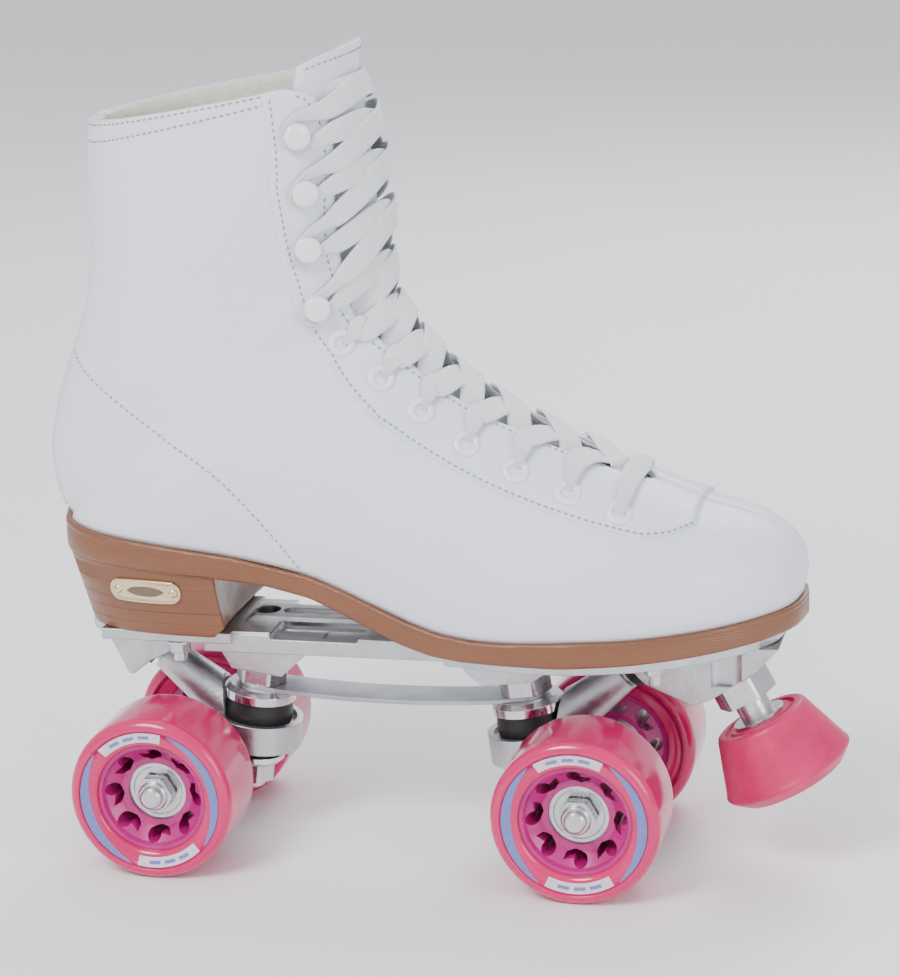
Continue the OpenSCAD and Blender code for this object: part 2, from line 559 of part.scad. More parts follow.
/* ---- wheels, in place at the front lateral corner ---- */
core_r = 20.4;
module tyre() {
  h = wheel_w;
  r = wheel_r;
  across(track / 2 - wheel_w) rotate_extrude($fn = 128) polygon(concat(
    [[core_r, 2.6], [core_r + 1.6, 1.4], [r - 6, 0.5], [r - 4, 0]],
    [for (a = [-80:20:0]) [r - 3.4 + 3.4 * cos(a), 3.4 + 3.4 * sin(a)]],
    [for (a = [0:20:80]) [r - 3.4 + 3.4 * cos(a), h - 3.4 + 3.4 * sin(a)]],
    [[r - 4, h], [r - 6, h - 0.5], [core_r + 1.6, h - 1.4], [core_r, h - 2.6]]));
}
function teardrop() = concat([for (a = [-100:20:140]) [15.9 + 2.5 * cos(a), 2.5 * sin(a) + 1]],
  [[12.6, -1.2], [13.6, -4.4], [15.8, -5.4]]);
module core() {
  low = 1.3;
  high = wheel_w - 9.8;
  across(track / 2 - wheel_w) difference() {
    rotate_extrude($fn = 96) polygon([[9, 8.5], [11.02, 8.5], [11.02, low - 0.15], [13, low - 0.15], [18.4, 3.4],
      [core_r, 3.4], [core_r, wheel_w - 3.4], [19, wheel_w - 3.4], [18.2, wheel_w - 5.4],
      [13.4, high], [11.02, high], [11.02, bearing_out - bearing_w - track / 2 + wheel_w - 0.1],
      [9, bearing_out - bearing_w - track / 2 + wheel_w - 0.1]]);
    for (i = [0:7]) rotate([0, 0, i * 45]) translate([0, 0, -1]) linear_extrude(BIG) polygon(teardrop());
  }
}
module bearings() {
  both_bearings() {
    rotate_extrude() polygon([[9.3, 0], [11, 0], [11, bearing_w], [9.3, bearing_w], [9.1, 6.7], [6.2, 6.7],
      [6.2, 6.3], [9, 6.3], [9, 0.7], [6.2, 0.7], [6.2, 0.3], [9.1, 0.3]]);
    for (i = [0:6]) rotate([0, 0, i * 360 / 7]) translate([7.5, 0, bearing_w / 2]) sphere(r = 1.45, $fn = 24);
  }
}
module wheel_place(front, lateral) {
  mirror([front ? 0 : 1, 0, 0]) mirror([0, lateral ? 0 : 1, 0]) children();
}

/* ---- toe stop ---- */
module toe_stop_stem() {
  color("silver") place() along_stop(-9) {
    cylinder(d = stop_stem_d, h = 9 + 30);
    cylinder(d = 22, h = 3);
  }
}
module toe_stop_washer() {
  color("lightgray") place() along_stop(0.05) difference() {
    cylinder(d = 20, h = 1.2);
    translate([0, 0, -1]) cylinder(d = stop_stem_d + 0.1, h = 4);
  }
}
module toe_stop_nut() {
  color("lightgray") place() along_stop(stop_seat_t - 8.6) ring_nut(20.6, 8.5, stop_stem_d + 0.1);
}
module toe_stop_rubber() {
  r = stop_d / 2;
  color("hotpink") place() along_stop(0) rotate_extrude($fn = 96) polygon([[stop_stem_d / 2 + 0.05, 0],
    [12, 0], [12.6, -1.2], [13.6, -1.2], [14.2, 0], [16.4, 0], [17.4, -0.5], [18, -1.6], [r - 0.6, -20.2], [r, -21.4],
    [r - 0.4, -22.4], [r - 5, -26.4], [0, -26.4], [0, -9.05], [11.05, -9.05], [11.05, -5.95], [stop_stem_d / 2 + 0.05, -5.95]]);
}

// The model's origin is below the middle of its length
heel_back = -127.55;
stop_front = stop_top[0] + 21.4 * sin(stop_lean) + stop_d / 2 * cos(stop_lean);
x_mid = (heel_back + stop_front) / 2;
module place() {
  translate([-x_mid, 0, 0]) children();
}

upper(-1);  // upper_lateral
upper(1);  // upper_medial
facing(-1);  // facing_lateral
facing(1);  // facing_medial
backstay();
heel_stiffener();
lining(-1);  // lining_lateral
lining(1);  // lining_medial
tongue();
eyelets();
lace_hooks();
laces();
footbed();
lasting_board();
outsole();
heel_block();
badge();
badge_rivets();
plate();
mounting_bolts();
mounting_nuts();
kingpins();
jam_nuts();
upper_cups();
tie_strap();
color("black") place() upper_cushion();  // upper_cushion_front
color("black") place() mirror([1, 0, 0]) upper_cushion();  // upper_cushion_rear
color("black") place() lower_cushion();  // lower_cushion_front
color("black") place() mirror([1, 0, 0]) lower_cushion();  // lower_cushion_rear
lower_cups();
kingpin_nuts();
pivot_cups();
toe_stop_nut();
toe_stop_washer();
toe_stop_rubber();
toe_stop_stem();
color("darkgray") place() hanger();  // hanger_front
color("silver") place() axle();  // axle_front
color("silver") place() axle_nuts();  // axle_nuts_front
color("silver") place() axle_washers();  // axle_washers_front
color("silver") place() bearing_inners();  // bearing_inners_front
color("darkgray") place() mirror([1, 0, 0]) hanger();  // hanger_rear
color("silver") place() mirror([1, 0, 0]) axle();  // axle_rear
color("silver") place() mirror([1, 0, 0]) axle_nuts();  // axle_nuts_rear
color("silver") place() mirror([1, 0, 0]) axle_washers();  // axle_washers_rear
color("silver") place() mirror([1, 0, 0]) bearing_inners();  // bearing_inners_rear
color("deeppink") place() wheel_place(true, true) tyre();  // tyre_front_lateral
color("orchid") place() wheel_place(true, true) core();  // core_front_lateral
color("silver") place() wheel_place(true, true) bearings();  // bearings_front_lateral
color("deeppink") place() wheel_place(true, false) tyre();  // tyre_front_medial
color("orchid") place() wheel_place(true, false) core();  // core_front_medial
color("silver") place() wheel_place(true, false) bearings();  // bearings_front_medial
color("deeppink") place() wheel_place(false, true) tyre();  // tyre_rear_lateral
color("orchid") place() wheel_place(false, true) core();  // core_rear_lateral
color("silver") place() wheel_place(false, true) bearings();  // bearings_rear_lateral
color("deeppink") place() wheel_place(false, false) tyre();  // tyre_rear_medial
color("orchid") place() wheel_place(false, false) core();  // core_rear_medial
color("silver") place() wheel_place(false, false) bearings();  // bearings_rear_medial
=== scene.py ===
"""The looks of a white high-top quad roller skate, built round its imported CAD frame."""

import math

import bmesh
import bpy
import numpy as np
from mathutils import Matrix, Vector


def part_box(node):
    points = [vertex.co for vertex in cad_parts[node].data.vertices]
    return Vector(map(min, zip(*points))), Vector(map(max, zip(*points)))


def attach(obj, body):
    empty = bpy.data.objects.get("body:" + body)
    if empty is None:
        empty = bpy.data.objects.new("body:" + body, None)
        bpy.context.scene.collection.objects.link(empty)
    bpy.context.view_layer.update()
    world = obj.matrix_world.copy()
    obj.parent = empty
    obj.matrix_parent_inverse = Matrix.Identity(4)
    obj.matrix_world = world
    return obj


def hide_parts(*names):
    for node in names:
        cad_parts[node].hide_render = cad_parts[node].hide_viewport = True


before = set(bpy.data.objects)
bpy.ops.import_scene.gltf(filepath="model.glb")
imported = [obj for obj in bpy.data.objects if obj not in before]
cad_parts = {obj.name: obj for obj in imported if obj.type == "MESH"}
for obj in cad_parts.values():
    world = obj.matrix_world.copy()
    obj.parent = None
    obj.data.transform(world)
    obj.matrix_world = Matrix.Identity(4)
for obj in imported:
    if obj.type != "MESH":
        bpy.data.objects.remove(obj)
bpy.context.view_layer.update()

MM = 0.001
WELD = 1e-6  # metres within which points become one
ROOT = "boot_and_plate"
SIDES = {"lateral": -1, "medial": 1}


# ---- the frame's own measures ----
def middle(node):
    low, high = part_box(node)
    return (Vector(low) + Vector(high)) / 2


axle_front = middle("axle_front")
axle_rear = middle("axle_rear")
MID_X = (axle_front.x + axle_rear.x) / 2 / MM  # the boot is drawn from midway between the axles
wheel_radius = (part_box("tyre_front_lateral")[1][2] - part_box("tyre_front_lateral")[0][2]) / 2
track_half = -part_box("tyre_front_lateral")[0][1]
wheel_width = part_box("tyre_front_lateral")[1][1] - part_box("tyre_front_lateral")[0][1]


# ---- camera, light and floor ----
# The camera's view of the skate: angles in degrees, lengths in metres
CAMERA_AZIMUTH, CAMERA_ELEVATION, CAMERA_ROLL = 13.9, 15.5, -1.96
CAMERA_TARGET = Vector(((21.1 + MID_X) * MM, 0, 138.3 * MM))
CAMERA_DISTANCE = 1.1094
CAMERA_LENS = 112.2
CAMERA_SHIFT = (0.0092, -0.0046)


def add_camera():
    azimuth, elevation = math.radians(CAMERA_AZIMUTH), math.radians(CAMERA_ELEVATION)
    roll = math.radians(CAMERA_ROLL)
    back = Vector((math.sin(azimuth) * math.cos(elevation), -math.cos(azimuth) * math.cos(elevation),
                   math.sin(elevation)))
    right = (-back).cross(Vector((0, 0, 1))).normalized()
    up = right.cross(-back)
    tilted_right = math.cos(roll) * right + math.sin(roll) * up
    tilted_up = -math.sin(roll) * right + math.cos(roll) * up
    camera = bpy.data.objects.new("camera", bpy.data.cameras.new("camera"))
    camera.matrix_world = Matrix.Translation(CAMERA_TARGET + back * CAMERA_DISTANCE) @ Matrix(
        (tilted_right, tilted_up, back)).transposed().to_4x4()
    camera.data.lens = CAMERA_LENS
    camera.data.shift_x, camera.data.shift_y = CAMERA_SHIFT
    bpy.context.collection.objects.link(camera)
    bpy.context.scene.camera = camera


def add_area(name, place, aim, size, watts, tint=(1, 1, 1)):
    light = bpy.data.objects.new(name, bpy.data.lights.new(name, "AREA"))
    light.data.shape = "DISK"
    light.data.size = size
    light.data.energy = watts
    light.data.color = tint
    light.location = place
    light.rotation_euler = (Vector(aim) - Vector(place)).to_track_quat("-Z", "Y").to_euler()
    bpy.context.collection.objects.link(light)


def add_stage():
    world = bpy.data.worlds.new("studio")
    world.use_nodes = True
    world.node_tree.nodes["Background"].inputs["Color"].default_value = (0.93, 0.95, 1, 1)
    world.node_tree.nodes["Background"].inputs["Strength"].default_value = 0.95
    bpy.context.scene.world = world
    add_area("key", (-0.5, -1.1, 1.3), (0, 0, 0.12), 0.7, 24)
    add_area("fill", (1.3, -0.9, 0.6), (0, 0, 0.12), 0.9, 9, (0.96, 0.97, 1))
    add_area("back", (0.2, 1.2, 1.1), (0, 0, 0.15), 0.8, 14)
    floor_mesh = bmesh.new()
    bmesh.ops.create_circle(floor_mesh, cap_ends=True, radius=6, segments=96)
    floor = to_object("floor", floor_mesh)
    floor.data.materials.append(floor_material())


# ---- materials ----
class Look:
    """One procedural material: a principled shader and short calls that add nodes to it."""

    def __init__(self, name, color, roughness=0.5, metallic=0.0, **sockets):
        self.material = bpy.data.materials.new(name)
        self.material.use_nodes = True
        self.tree = self.material.node_tree
        self.shader = self.tree.nodes["Principled BSDF"]
        self.shader.inputs["Base Color"].default_value = (*color, 1)
        self.shader.inputs["Roughness"].default_value = roughness
        self.shader.inputs["Metallic"].default_value = metallic
        for socket, value in sockets.items():
            self.shader.inputs[socket.replace("_", " ")].default_value = value
        self.normal = None

    def node(self, kind, links=(), **values):
        made = self.tree.nodes.new(kind)
        for name, value in values.items():
            if name in made.inputs:
                made.inputs[name].default_value = value
            else:
                setattr(made, name, value)
        for name, source in dict(links).items():
            self.tree.links.new(source, made.inputs[name])
        return made

    def place(self, scale=(1, 1, 1), uv=False):
        coordinate = self.node("ShaderNodeTexCoord")
        source = coordinate.outputs["UV" if uv else "Object"]
        mapping = self.node("ShaderNodeMapping", {"Vector": source})
        mapping.inputs["Scale"].default_value = scale
        return mapping.outputs["Vector"]

    def noise(self, scale, detail=4, stretch=(1, 1, 1), roughness=0.55, uv=False):
        made = self.node("ShaderNodeTexNoise", {"Vector": self.place(stretch, uv)}, Scale=scale,
                         Detail=detail, Roughness=roughness)
        return made.outputs["Fac"]

    def spread(self, factor, low, high):
        made = self.node("ShaderNodeMapRange", {"Value": factor})
        made.inputs["From Min"].default_value = 0.3
        made.inputs["From Max"].default_value = 0.7
        made.inputs["To Min"].default_value = low
        made.inputs["To Max"].default_value = high
        return made.outputs["Result"]

    def vary_color(self, factor, first, second):
        ramp = self.node("ShaderNodeValToRGB", {"Fac": factor})
        ramp.color_ramp.elements[0].position = 0.32
        ramp.color_ramp.elements[0].color = (*first, 1)
        ramp.color_ramp.elements[1].position = 0.68
        ramp.color_ramp.elements[1].color = (*second, 1)
        self.tree.links.new(ramp.outputs["Color"], self.shader.inputs["Base Color"])
        return ramp.outputs["Color"]

    def vary_roughness(self, factor, low, high):
        self.tree.links.new(self.spread(factor, low, high), self.shader.inputs["Roughness"])

    def bump(self, height, depth, strength=1.0):
        links = {"Height": height}
        if self.normal is not None:
            links["Normal"] = self.normal
        made = self.node("ShaderNodeBump", links, Strength=strength, Distance=depth)
        self.normal = made.outputs["Normal"]
        self.tree.links.new(self.normal, self.shader.inputs["Normal"])

    def soft_edges(self, radius):
        made = self.node("ShaderNodeBevel", samples=4, Radius=radius)
        self.normal = made.outputs["Normal"]
        self.tree.links.new(self.normal, self.shader.inputs["Normal"])

    def math(self, operation, first, second=None):
        made = self.node("ShaderNodeMath", operation=operation)
        for slot, value in enumerate((first, second)):
            if value is None:
                continue
            if isinstance(value, (int, float)):
                made.inputs[slot].default_value = value
            else:
                self.tree.links.new(value, made.inputs[slot])
        return made.outputs[0]


def floor_material():
    look = Look("floor", (0.93, 0.932, 0.94), 0.6)
    look.vary_roughness(look.noise(6), 0.55, 0.68)
    return look.material


def leather_material():
    look = Look("white_leather", (0.83, 0.84, 0.87), 0.42, Specular_IOR_Level=0.45, Coat_Weight=0.12)
    look.shader.inputs["Coat Roughness"].default_value = 0.3
    look.shader.inputs["Subsurface Weight"].default_value = 0.06
    look.shader.inputs["Subsurface Scale"].default_value = 0.002
    look.vary_color(look.noise(16, 3), (0.74, 0.765, 0.85), (0.8, 0.815, 0.87))
    look.vary_roughness(look.noise(60, 5), 0.38, 0.5)
    look.bump(look.noise(420, 3, (0.25, 0.25, 3.2)), 0.0003, 0.7)
    look.bump(look.noise(1500, 2, (0.7, 0.7, 1.6)), 0.00008, 0.5)
    return look.material


def felt_material():
    look = Look("lining_felt", (0.8, 0.76, 0.66), 0.95, Sheen_Weight=0.6)
    look.shader.inputs["Sheen Roughness"].default_value = 0.6
    look.vary_color(look.noise(260, 6, roughness=0.75), (0.68, 0.64, 0.55), (0.86, 0.83, 0.75))
    look.bump(look.noise(900, 6, roughness=0.8), 0.0006, 0.9)
    look.bump(look.noise(160, 4), 0.0007, 0.5)
    return look.material


def lace_material():
    # a herringbone weave: U runs along the lace in widths of it, V across it
    look = Look("lace_cotton", (0.86, 0.86, 0.88), 0.85, Sheen_Weight=0.35)
    place = look.node("ShaderNodeSeparateXYZ", {"Vector": look.place(uv=True)})
    across = look.math("ABSOLUTE", look.math("SUBTRACT", place.outputs["Y"], 0.5))
    forward = look.math("MULTIPLY", place.outputs["X"], 52.0)
    slant = look.math("ADD", forward, look.math("MULTIPLY", across, 40.0))
    rows = look.math("SINE", slant)
    ribs = look.math("SINE", look.math("MULTIPLY", place.outputs["Y"], 75.0))
    weave = look.math("MULTIPLY", look.math("ADD", rows, ribs), 0.25)
    weave = look.math("ADD", weave, 0.5)
    look.vary_color(weave, (0.74, 0.745, 0.78), (0.89, 0.89, 0.9))
    look.bump(weave, 0.00028, 0.9)
    look.bump(look.noise(2600, 3), 0.0001, 0.5)
    return look.material


def enamel_material():
    look = Look("white_enamel", (0.88, 0.88, 0.89), 0.2, Coat_Weight=0.5)
    look.vary_roughness(look.noise(300), 0.16, 0.26)
    look.vary_color(look.noise(240), (0.84, 0.84, 0.86), (0.9, 0.9, 0.91))
    return look.material


def thread_with_hole_shade_material():
    # thread colour darkened to grey-blue: painted shade of the stitch holes laid over the thread's own pale
    # grey
    look = Look("thread_with_painted_hole_shade", (0.3, 0.31, 0.38), 0.8)
    look.vary_color(look.noise(900), (0.24, 0.25, 0.32), (0.38, 0.39, 0.46))
    look.bump(look.noise(4000, 2, (3, 1, 1)), 0.00008, 0.6)
    return look.material


def sole_material(name="brown_sole", lines=0.35):
    look = Look(name, (0.19, 0.068, 0.027), 0.4, Coat_Weight=0.15)
    look.vary_color(look.noise(38, 4, (0.6, 0.6, 2)), (0.175, 0.061, 0.024), (0.205, 0.075, 0.03))
    look.vary_roughness(look.noise(150, 4), 0.3, 0.46)
    if lines:
        place = look.node("ShaderNodeSeparateXYZ", {"Vector": look.place()})
        wave = look.math("SINE", look.math("MULTIPLY", place.outputs["Z"], 5600.0))
        look.bump(wave, 0.0001, lines)
    look.bump(look.noise(800, 3, (0.4, 0.4, 2)), 0.0001, 0.4)
    return look.material


def metal_material(name, color, low, high, grain=0.0, grain_scale=900, edge=0.00035):
    look = Look(name, color, (low + high) / 2, 1.0)
    look.vary_roughness(look.noise(220, 5), low, high)
    darker = tuple(c * 0.82 for c in color)
    look.vary_color(look.noise(90, 5), darker, color)
    if edge:
        look.soft_edges(edge)
    if grain:
        look.bump(look.noise(grain_scale, 4), grain, 0.6)
    return look.material


def rubber_material(name, color, low=0.4, high=0.6):
    look = Look(name, color, 0.5, Specular_IOR_Level=0.4)
    brighter = tuple(min(1, c * 1.25 + 0.004) for c in color)
    look.vary_color(look.noise(70, 4), color, brighter)
    look.vary_roughness(look.noise(180, 4), low, high)
    look.bump(look.noise(1200, 3), 0.00008, 0.5)
    return look.material


def urethane_material():
    look = Look("pink_urethane", (0.62, 0.003, 0.115), 0.16, Coat_Weight=0.35)
    look.shader.inputs["Subsurface Weight"].default_value = 0.25
    look.shader.inputs["Subsurface Scale"].default_value = 0.004
    look.shader.inputs["Subsurface Radius"].default_value = (1, 0.15, 0.35)
    look.vary_color(look.noise(24, 3), (0.58, 0.002, 0.105), (0.66, 0.005, 0.13))
    look.vary_roughness(look.noise(130, 4), 0.12, 0.24)
    look.bump(look.noise(240, 3), 0.00006, 0.4)
    return look.material


def nylon_material():
    look = Look("magenta_nylon", (0.45, 0.004, 0.17), 0.3, Coat_Weight=0.3)
    look.vary_color(look.noise(80, 3), (0.4, 0.003, 0.145), (0.5, 0.006, 0.2))
    look.vary_roughness(look.noise(260, 3), 0.24, 0.38)
    look.soft_edges(0.0003)
    look.bump(look.noise(1600, 2), 0.00004, 0.4)
    return look.material


def print_material(name, color):
    look = Look(name, color, 0.35)
    look.vary_color(look.noise(500, 4), tuple(c * 0.86 for c in color), color)
    look.vary_roughness(look.noise(400), 0.3, 0.42)
    return look.material


# ---- meshes ----
def to_object(name, mesh, smooth=True):
    data = bpy.data.meshes.new(name)
    mesh.to_mesh(data)
    mesh.free()
    for polygon in data.polygons:
        polygon.use_smooth = smooth
    made = bpy.data.objects.new(name, data)
    bpy.context.collection.objects.link(made)
    return made


def grid_mesh(mesh, points, wrap=False, caps=False, uv=None, flip=False):
    """Adds a grid of points (rows, columns, 3) in millimetres; wrap closes the columns round."""
    layer = mesh.loops.layers.uv.verify() if uv is not None else None
    rows, columns = points.shape[:2]
    made = [[mesh.verts.new(Vector(p) * MM) for p in row] for row in points]
    for i in range(rows - 1):
        for j in range(columns if wrap else columns - 1):
            k = (j + 1) % columns
            corners = [(i, j), (i, k), (i + 1, k), (i + 1, j)]
            if flip:
                corners.reverse()
            face = mesh.faces.new([made[a][b] for a, b in corners])
            if uv is None:
                continue
            for loop, (a, b) in zip(face.loops, corners):
                v = uv[1][b] if b or not j == columns - 1 else uv[1][-1]
                loop[layer].uv = (uv[0][a], v)
    if caps:
        first, last = made[0], made[-1]
        mesh.faces.new(first if flip else first[::-1])
        mesh.faces.new(last[::-1] if flip else last)
    return made


def weld(mesh):
    bmesh.ops.remove_doubles(mesh, verts=mesh.verts, dist=WELD)
    bmesh.ops.recalc_face_normals(mesh, faces=mesh.faces)


def grid_object(name, points, **options):
    mesh = bmesh.new()
    grid_mesh(mesh, points, **options)
    weld(mesh)
    return to_object(name, mesh)


def revolve_points(profile, segments):
    """Profile points (r, h) turned round +Z."""
    angles = np.linspace(0, 2 * math.pi, segments, endpoint=False)
    ring = np.array(profile, float)
    return np.stack([np.stack([ring[:, 0] * math.cos(a), ring[:, 0] * math.sin(a), ring[:, 1]], -1)
                     for a in angles], 1)


def placed(points, matrix):
    """Moves grid points in millimetres by a matrix whose own lengths are millimetres."""
    shape = points.shape
    flat = points.reshape(-1, 3) @ np.array(matrix.to_3x3()).T + np.array(matrix.translation)
    return flat.reshape(shape)


def spline(points, count):
    """A smooth curve through the points, which may have any number of values each."""
    points = np.array(points, float)
    ends = np.vstack([2 * points[0] - points[1], points, 2 * points[-1] - points[-2]])
    out = []
    for t in np.linspace(0, len(points) - 1 - 1e-9, count):
        i = int(t)
        f = t - i
        a, b, c, d = ends[i:i + 4]
        out.append(b + 0.5 * f * (c - a + f * (2 * a - 5 * b + 4 * c - d + f * (3 * (b - c) + d - a))))
    return np.array(out)


def dress(piece, body, slot, look, *nodes):
    piece.data.materials.append(look)
    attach(piece, body)
    if nodes:
        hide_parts(*nodes)
    return piece


# ---- the last: the same rings as the CAD's, in millimetres from midway between the axles ----
# lower or rear end (x, z), upper or front end (x, z), lower and greatest half width, roundness
STATIONS = np.array([
    [152.3, 100.5, 154.6, 110.5, 0, 0, 2.2], [150.3, 100.2, 152.4, 118, 11.5, 13, 2.3],
    [145, 99.6, 145, 125.5, 20.5, 23, 2.35], [134, 98.3, 133.5, 131, 29.5, 32.5, 2.3],
    [118, 96.9, 117.5, 135.8, 37.5, 40.5, 2.15], [98, 95.4, 101, 142.5, 42.5, 44.8, 2],
    [76, 94.4, 84, 150.5, 44, 46, 1.9], [52, 93, 66, 159.5, 42.5, 44.5, 1.85],
    [28, 94.3, 47, 170.5, 38.5, 42, 1.8], [4, 102, 31, 182, 34.5, 39.5, 1.75],
    [-22, 111.6, 19, 194, 32, 37.8, 1.75], [-50, 117.1, 11.5, 203.5, 31.2, 36.6, 1.8],
    [-80, 120.6, 8, 212, 30.6, 35.4, 1.85], [-102, 122.8, 6.2, 220, 26, 34.2, 1.9],
    [-116, 124.2, 5.8, 227.5, 15.5, 33.6, 1.95], [-121.6, 125, 6, 234.5, 0, 33.4, 2],
    [-125.8, 137, 6.2, 241.5, 0, 33.6, 2], [-126.3, 151, 5.7, 248.5, 0, 34.2, 2.05],
    [-122.4, 168, 4.8, 255.5, 0, 35, 2.1], [-115.5, 187, 3.6, 262, 0, 36, 2.15],
    [-108.6, 206, 2.2, 268.5, 0, 37, 2.2], [-105.4, 228, 0.5, 275.5, 0, 38, 2.2],
    [-104.3, 250, -2, 283, 0, 38.8, 2.2], [-102.3, 273.5, -5, 290, 0, 39.5, 2.2]])
LAST = len(STATIONS) - 1
HEEL_END = 15
LEAN = np.array([[0, 1], [1, 0.8], [2, 0.5], [3, 0.25], [4, 0], [12, 0], [13, -0.45], [14, -0.85],
                 [15, -1], [LAST, -1]])
GAP = np.array([[5, 0], [5.3, 6], [6, 9], [8, 13], [10, 15], [12, 17.5], [15, 20], [18, 22],
                [21.5, 23], [22.4, 25], [23, 32]])
FACING = np.array([[3.8, 0.99], [4, 0.9], [4.5, 0.79], [5, 0.735], [6, 0.715], [8, 0.71],
                   [10, 0.69], [12, 0.765], [14, 0.78], [16, 0.765], [18, 0.745], [20, 0.72],
                   [23, 0.75]])
THROAT = 5
EYELETS = [5.5, 6.48, 7.43, 8.35, 9.36, 10.43, 12]
HOOKS = [14.1, 17, 19.35, 21.4]
ROW_HEIGHT = 0.82
SOLE_TOP = np.array([[-130, 125.6], [-121.6, 125], [-102, 122.8], [-80, 120.6], [-50, 117.1],
                     [-22, 111.6], [-8, 106.9], [4, 102], [16, 97.5], [28, 94.3], [40, 92.9],
                     [52, 93], [76, 94.4], [98, 95.4], [118, 96.9], [134, 98.3], [145, 99.6],
                     [160, 101]])
SOLE_LOW = np.array([[-130, 113.6], [-100, 112], [-58.5, 109], [-39, 107.4], [-21, 103.4],
                     [-9, 98.6], [3, 93.2], [14, 88.9], [25, 86], [36, 85], [73, 85], [97, 86.4],
                     [114, 87.8], [126, 88.9], [138, 90.2], [160, 93]])


def station(s, column):
    i = int(min(max(math.floor(s), 0), LAST - 1))
    a, b, c, d = (STATIONS[min(max(i + k, 0), LAST), column] for k in (-1, 0, 1, 2))
    t = s - i
    return b + 0.5 * t * (c - a + t * (2 * a - 5 * b + 4 * c - d + t * (3 * (b - c) + d - a)))


def foot_bend(x):
    if x <= -20:
        return 0.0
    share = (x + 20) / 170
    return 6 * share ** 2 - 2.5 * math.sin(math.pi * share)


def rail(s):
    return np.array([station(s, 2), station(s, 3)])


def ring(s, off):
    lean = np.interp(s, LEAN[:, 0], LEAN[:, 1])
    share = math.sqrt(max(0, 1 - lean ** 2))
    side = share if s < 4 else 1
    along = rail(min(LAST, s + 0.1)) - rail(max(0, s - 0.1))
    out = np.array([along[1], -along[0]]) / np.linalg.norm(along)
    low = np.array([station(s, 0) + off * lean, station(s, 1)])
    high = rail(s) + off * out
    greatest = max(0.0, station(s, 5) + off * side)
    least = station(s, 4) + off * side * (share if s > 12 else 1)
    least = 0.0 if s >= HEEL_END else min(max(least, 0.0), greatest)
    return low, high, least, greatest, station(s, 6)


def low_angle(r):
    if r[3] <= 0:
        return 0.0
    return -math.degrees(math.acos(min(1, r[2] / r[3]) ** (r[4] / 2)))


def rise(angle, power):
    sine = math.sin(math.radians(angle))
    return math.copysign(abs(sine) ** (2 / power), sine)


def skin_at(s, angle, side, off):
    """The point of the ring at s that is angle up it; 90 is the ridge."""
    r = ring(s, off)
    if r[3] <= 0:
        p = r[0] + max(0, angle) / 90 * (r[1] - r[0])
        return np.array([p[0], foot_bend(p[0]), p[1]])
    start = rise(low_angle(r), r[4])
    height = (rise(angle, r[4]) - start) / (1 - start)
    p = r[0] + height * (r[1] - r[0])
    y = 0 if abs(angle) >= 89.99 else r[3] * max(0, math.cos(math.radians(angle))) ** (2 / r[4])
    return np.array([p[0], side * y + foot_bend(p[0]), p[1]])


def skin(s, u, side, off):
    start = low_angle(ring(s, off))
    return skin_at(s, start + (90 - start) * u, side, off)


def share_of_angle(s, angle):
    start = low_angle(ring(s, 0))
    return (angle - start) / (90 - start)


def gap_share(s):
    if s <= THROAT:
        return 1.0
    r = ring(s, 0)
    gap = np.interp(s, GAP[:, 0], GAP[:, 1])
    return share_of_angle(s, math.degrees(math.acos(min(1, gap / r[3]) ** (r[4] / 2))))


def height_share(s, height):
    r = ring(s, 0)
    start = rise(low_angle(r), r[4])
    z = start + height * (1 - start)
    return share_of_angle(s, math.copysign(math.degrees(math.asin(min(1, abs(z) ** (r[4] / 2)))), z))


def facing_share(s):
    return height_share(s, np.interp(s, FACING[:, 0], FACING[:, 1]))


def row_share(s):
    return height_share(s, ROW_HEIGHT)


def skin_frame(s, u, side, off):
    """Place and outward normal on the surface, and the direction of growing s."""
    step = 0.02
    s = min(max(s, step), LAST - step)
    along = skin(s + step, u, side, 0) - skin(s - step, u, side, 0)
    up = skin(s, min(1, u + step), side, 0) - skin(s, u - step, side, 0)
    normal = -side * np.cross(up, along)
    normal /= np.linalg.norm(normal)
    return skin(s, u, side, 0) + normal * off, normal, along / np.linalg.norm(along)


def in_row(points):
    """From midway between the axles to the row's own origin."""
    moved = np.array(points, float)
    moved[..., 0] += MID_X
    return moved


def band(name, s_values, u_from, u_to, side, columns, outer, inner, **options):
    """A sheet over part of the surface, closed round its edges; outer(v) is the offset across it."""
    rows = []
    for s in s_values:
        a, b = u_from(s), u_to(s)
        shares = np.linspace(0, 1, columns)
        top = [skin(s, a + (b - a) * v, side, outer(v)) for v in shares]
        bottom = [skin(s, a + (b - a) * v, side, inner) for v in shares[::-1]]
        rows.append(top + bottom)
    return grid_object(name, in_row(rows), wrap=True, caps=True, **options)


# ---- boot: offsets from the surface, in millimetres ----
LEATHER = 1.4
FACING_TOP = 1.15
LINING_OUT, LINING_IN = -1.5, -4.3
BACKSTAY_TOP = 0.75
TONGUE_LEATHER = (-5.2, -6.8)  # outer and inner face
TONGUE_FELT = (-6.85, -8.5)
FOOTBED_EDGE = -4.6
THREAD_UP = 0.1    # a stitch line's height above the leather it runs on


def edge_round(width, height, base=0.0):
    """Offsets across a band that drop to base within width (a share of it) of both edges."""
    def offset(v):
        near = min(v, 1 - v) / width
        return base + (height - base) * math.sqrt(max(0, 1 - (1 - min(1, near)) ** 2))
    return offset


def rolled_edge(v):
    """The upper's outer face dips a little along the edge of its lace opening."""
    return 0 if v < 0.985 else -0.35 * (v - 0.985) / 0.015


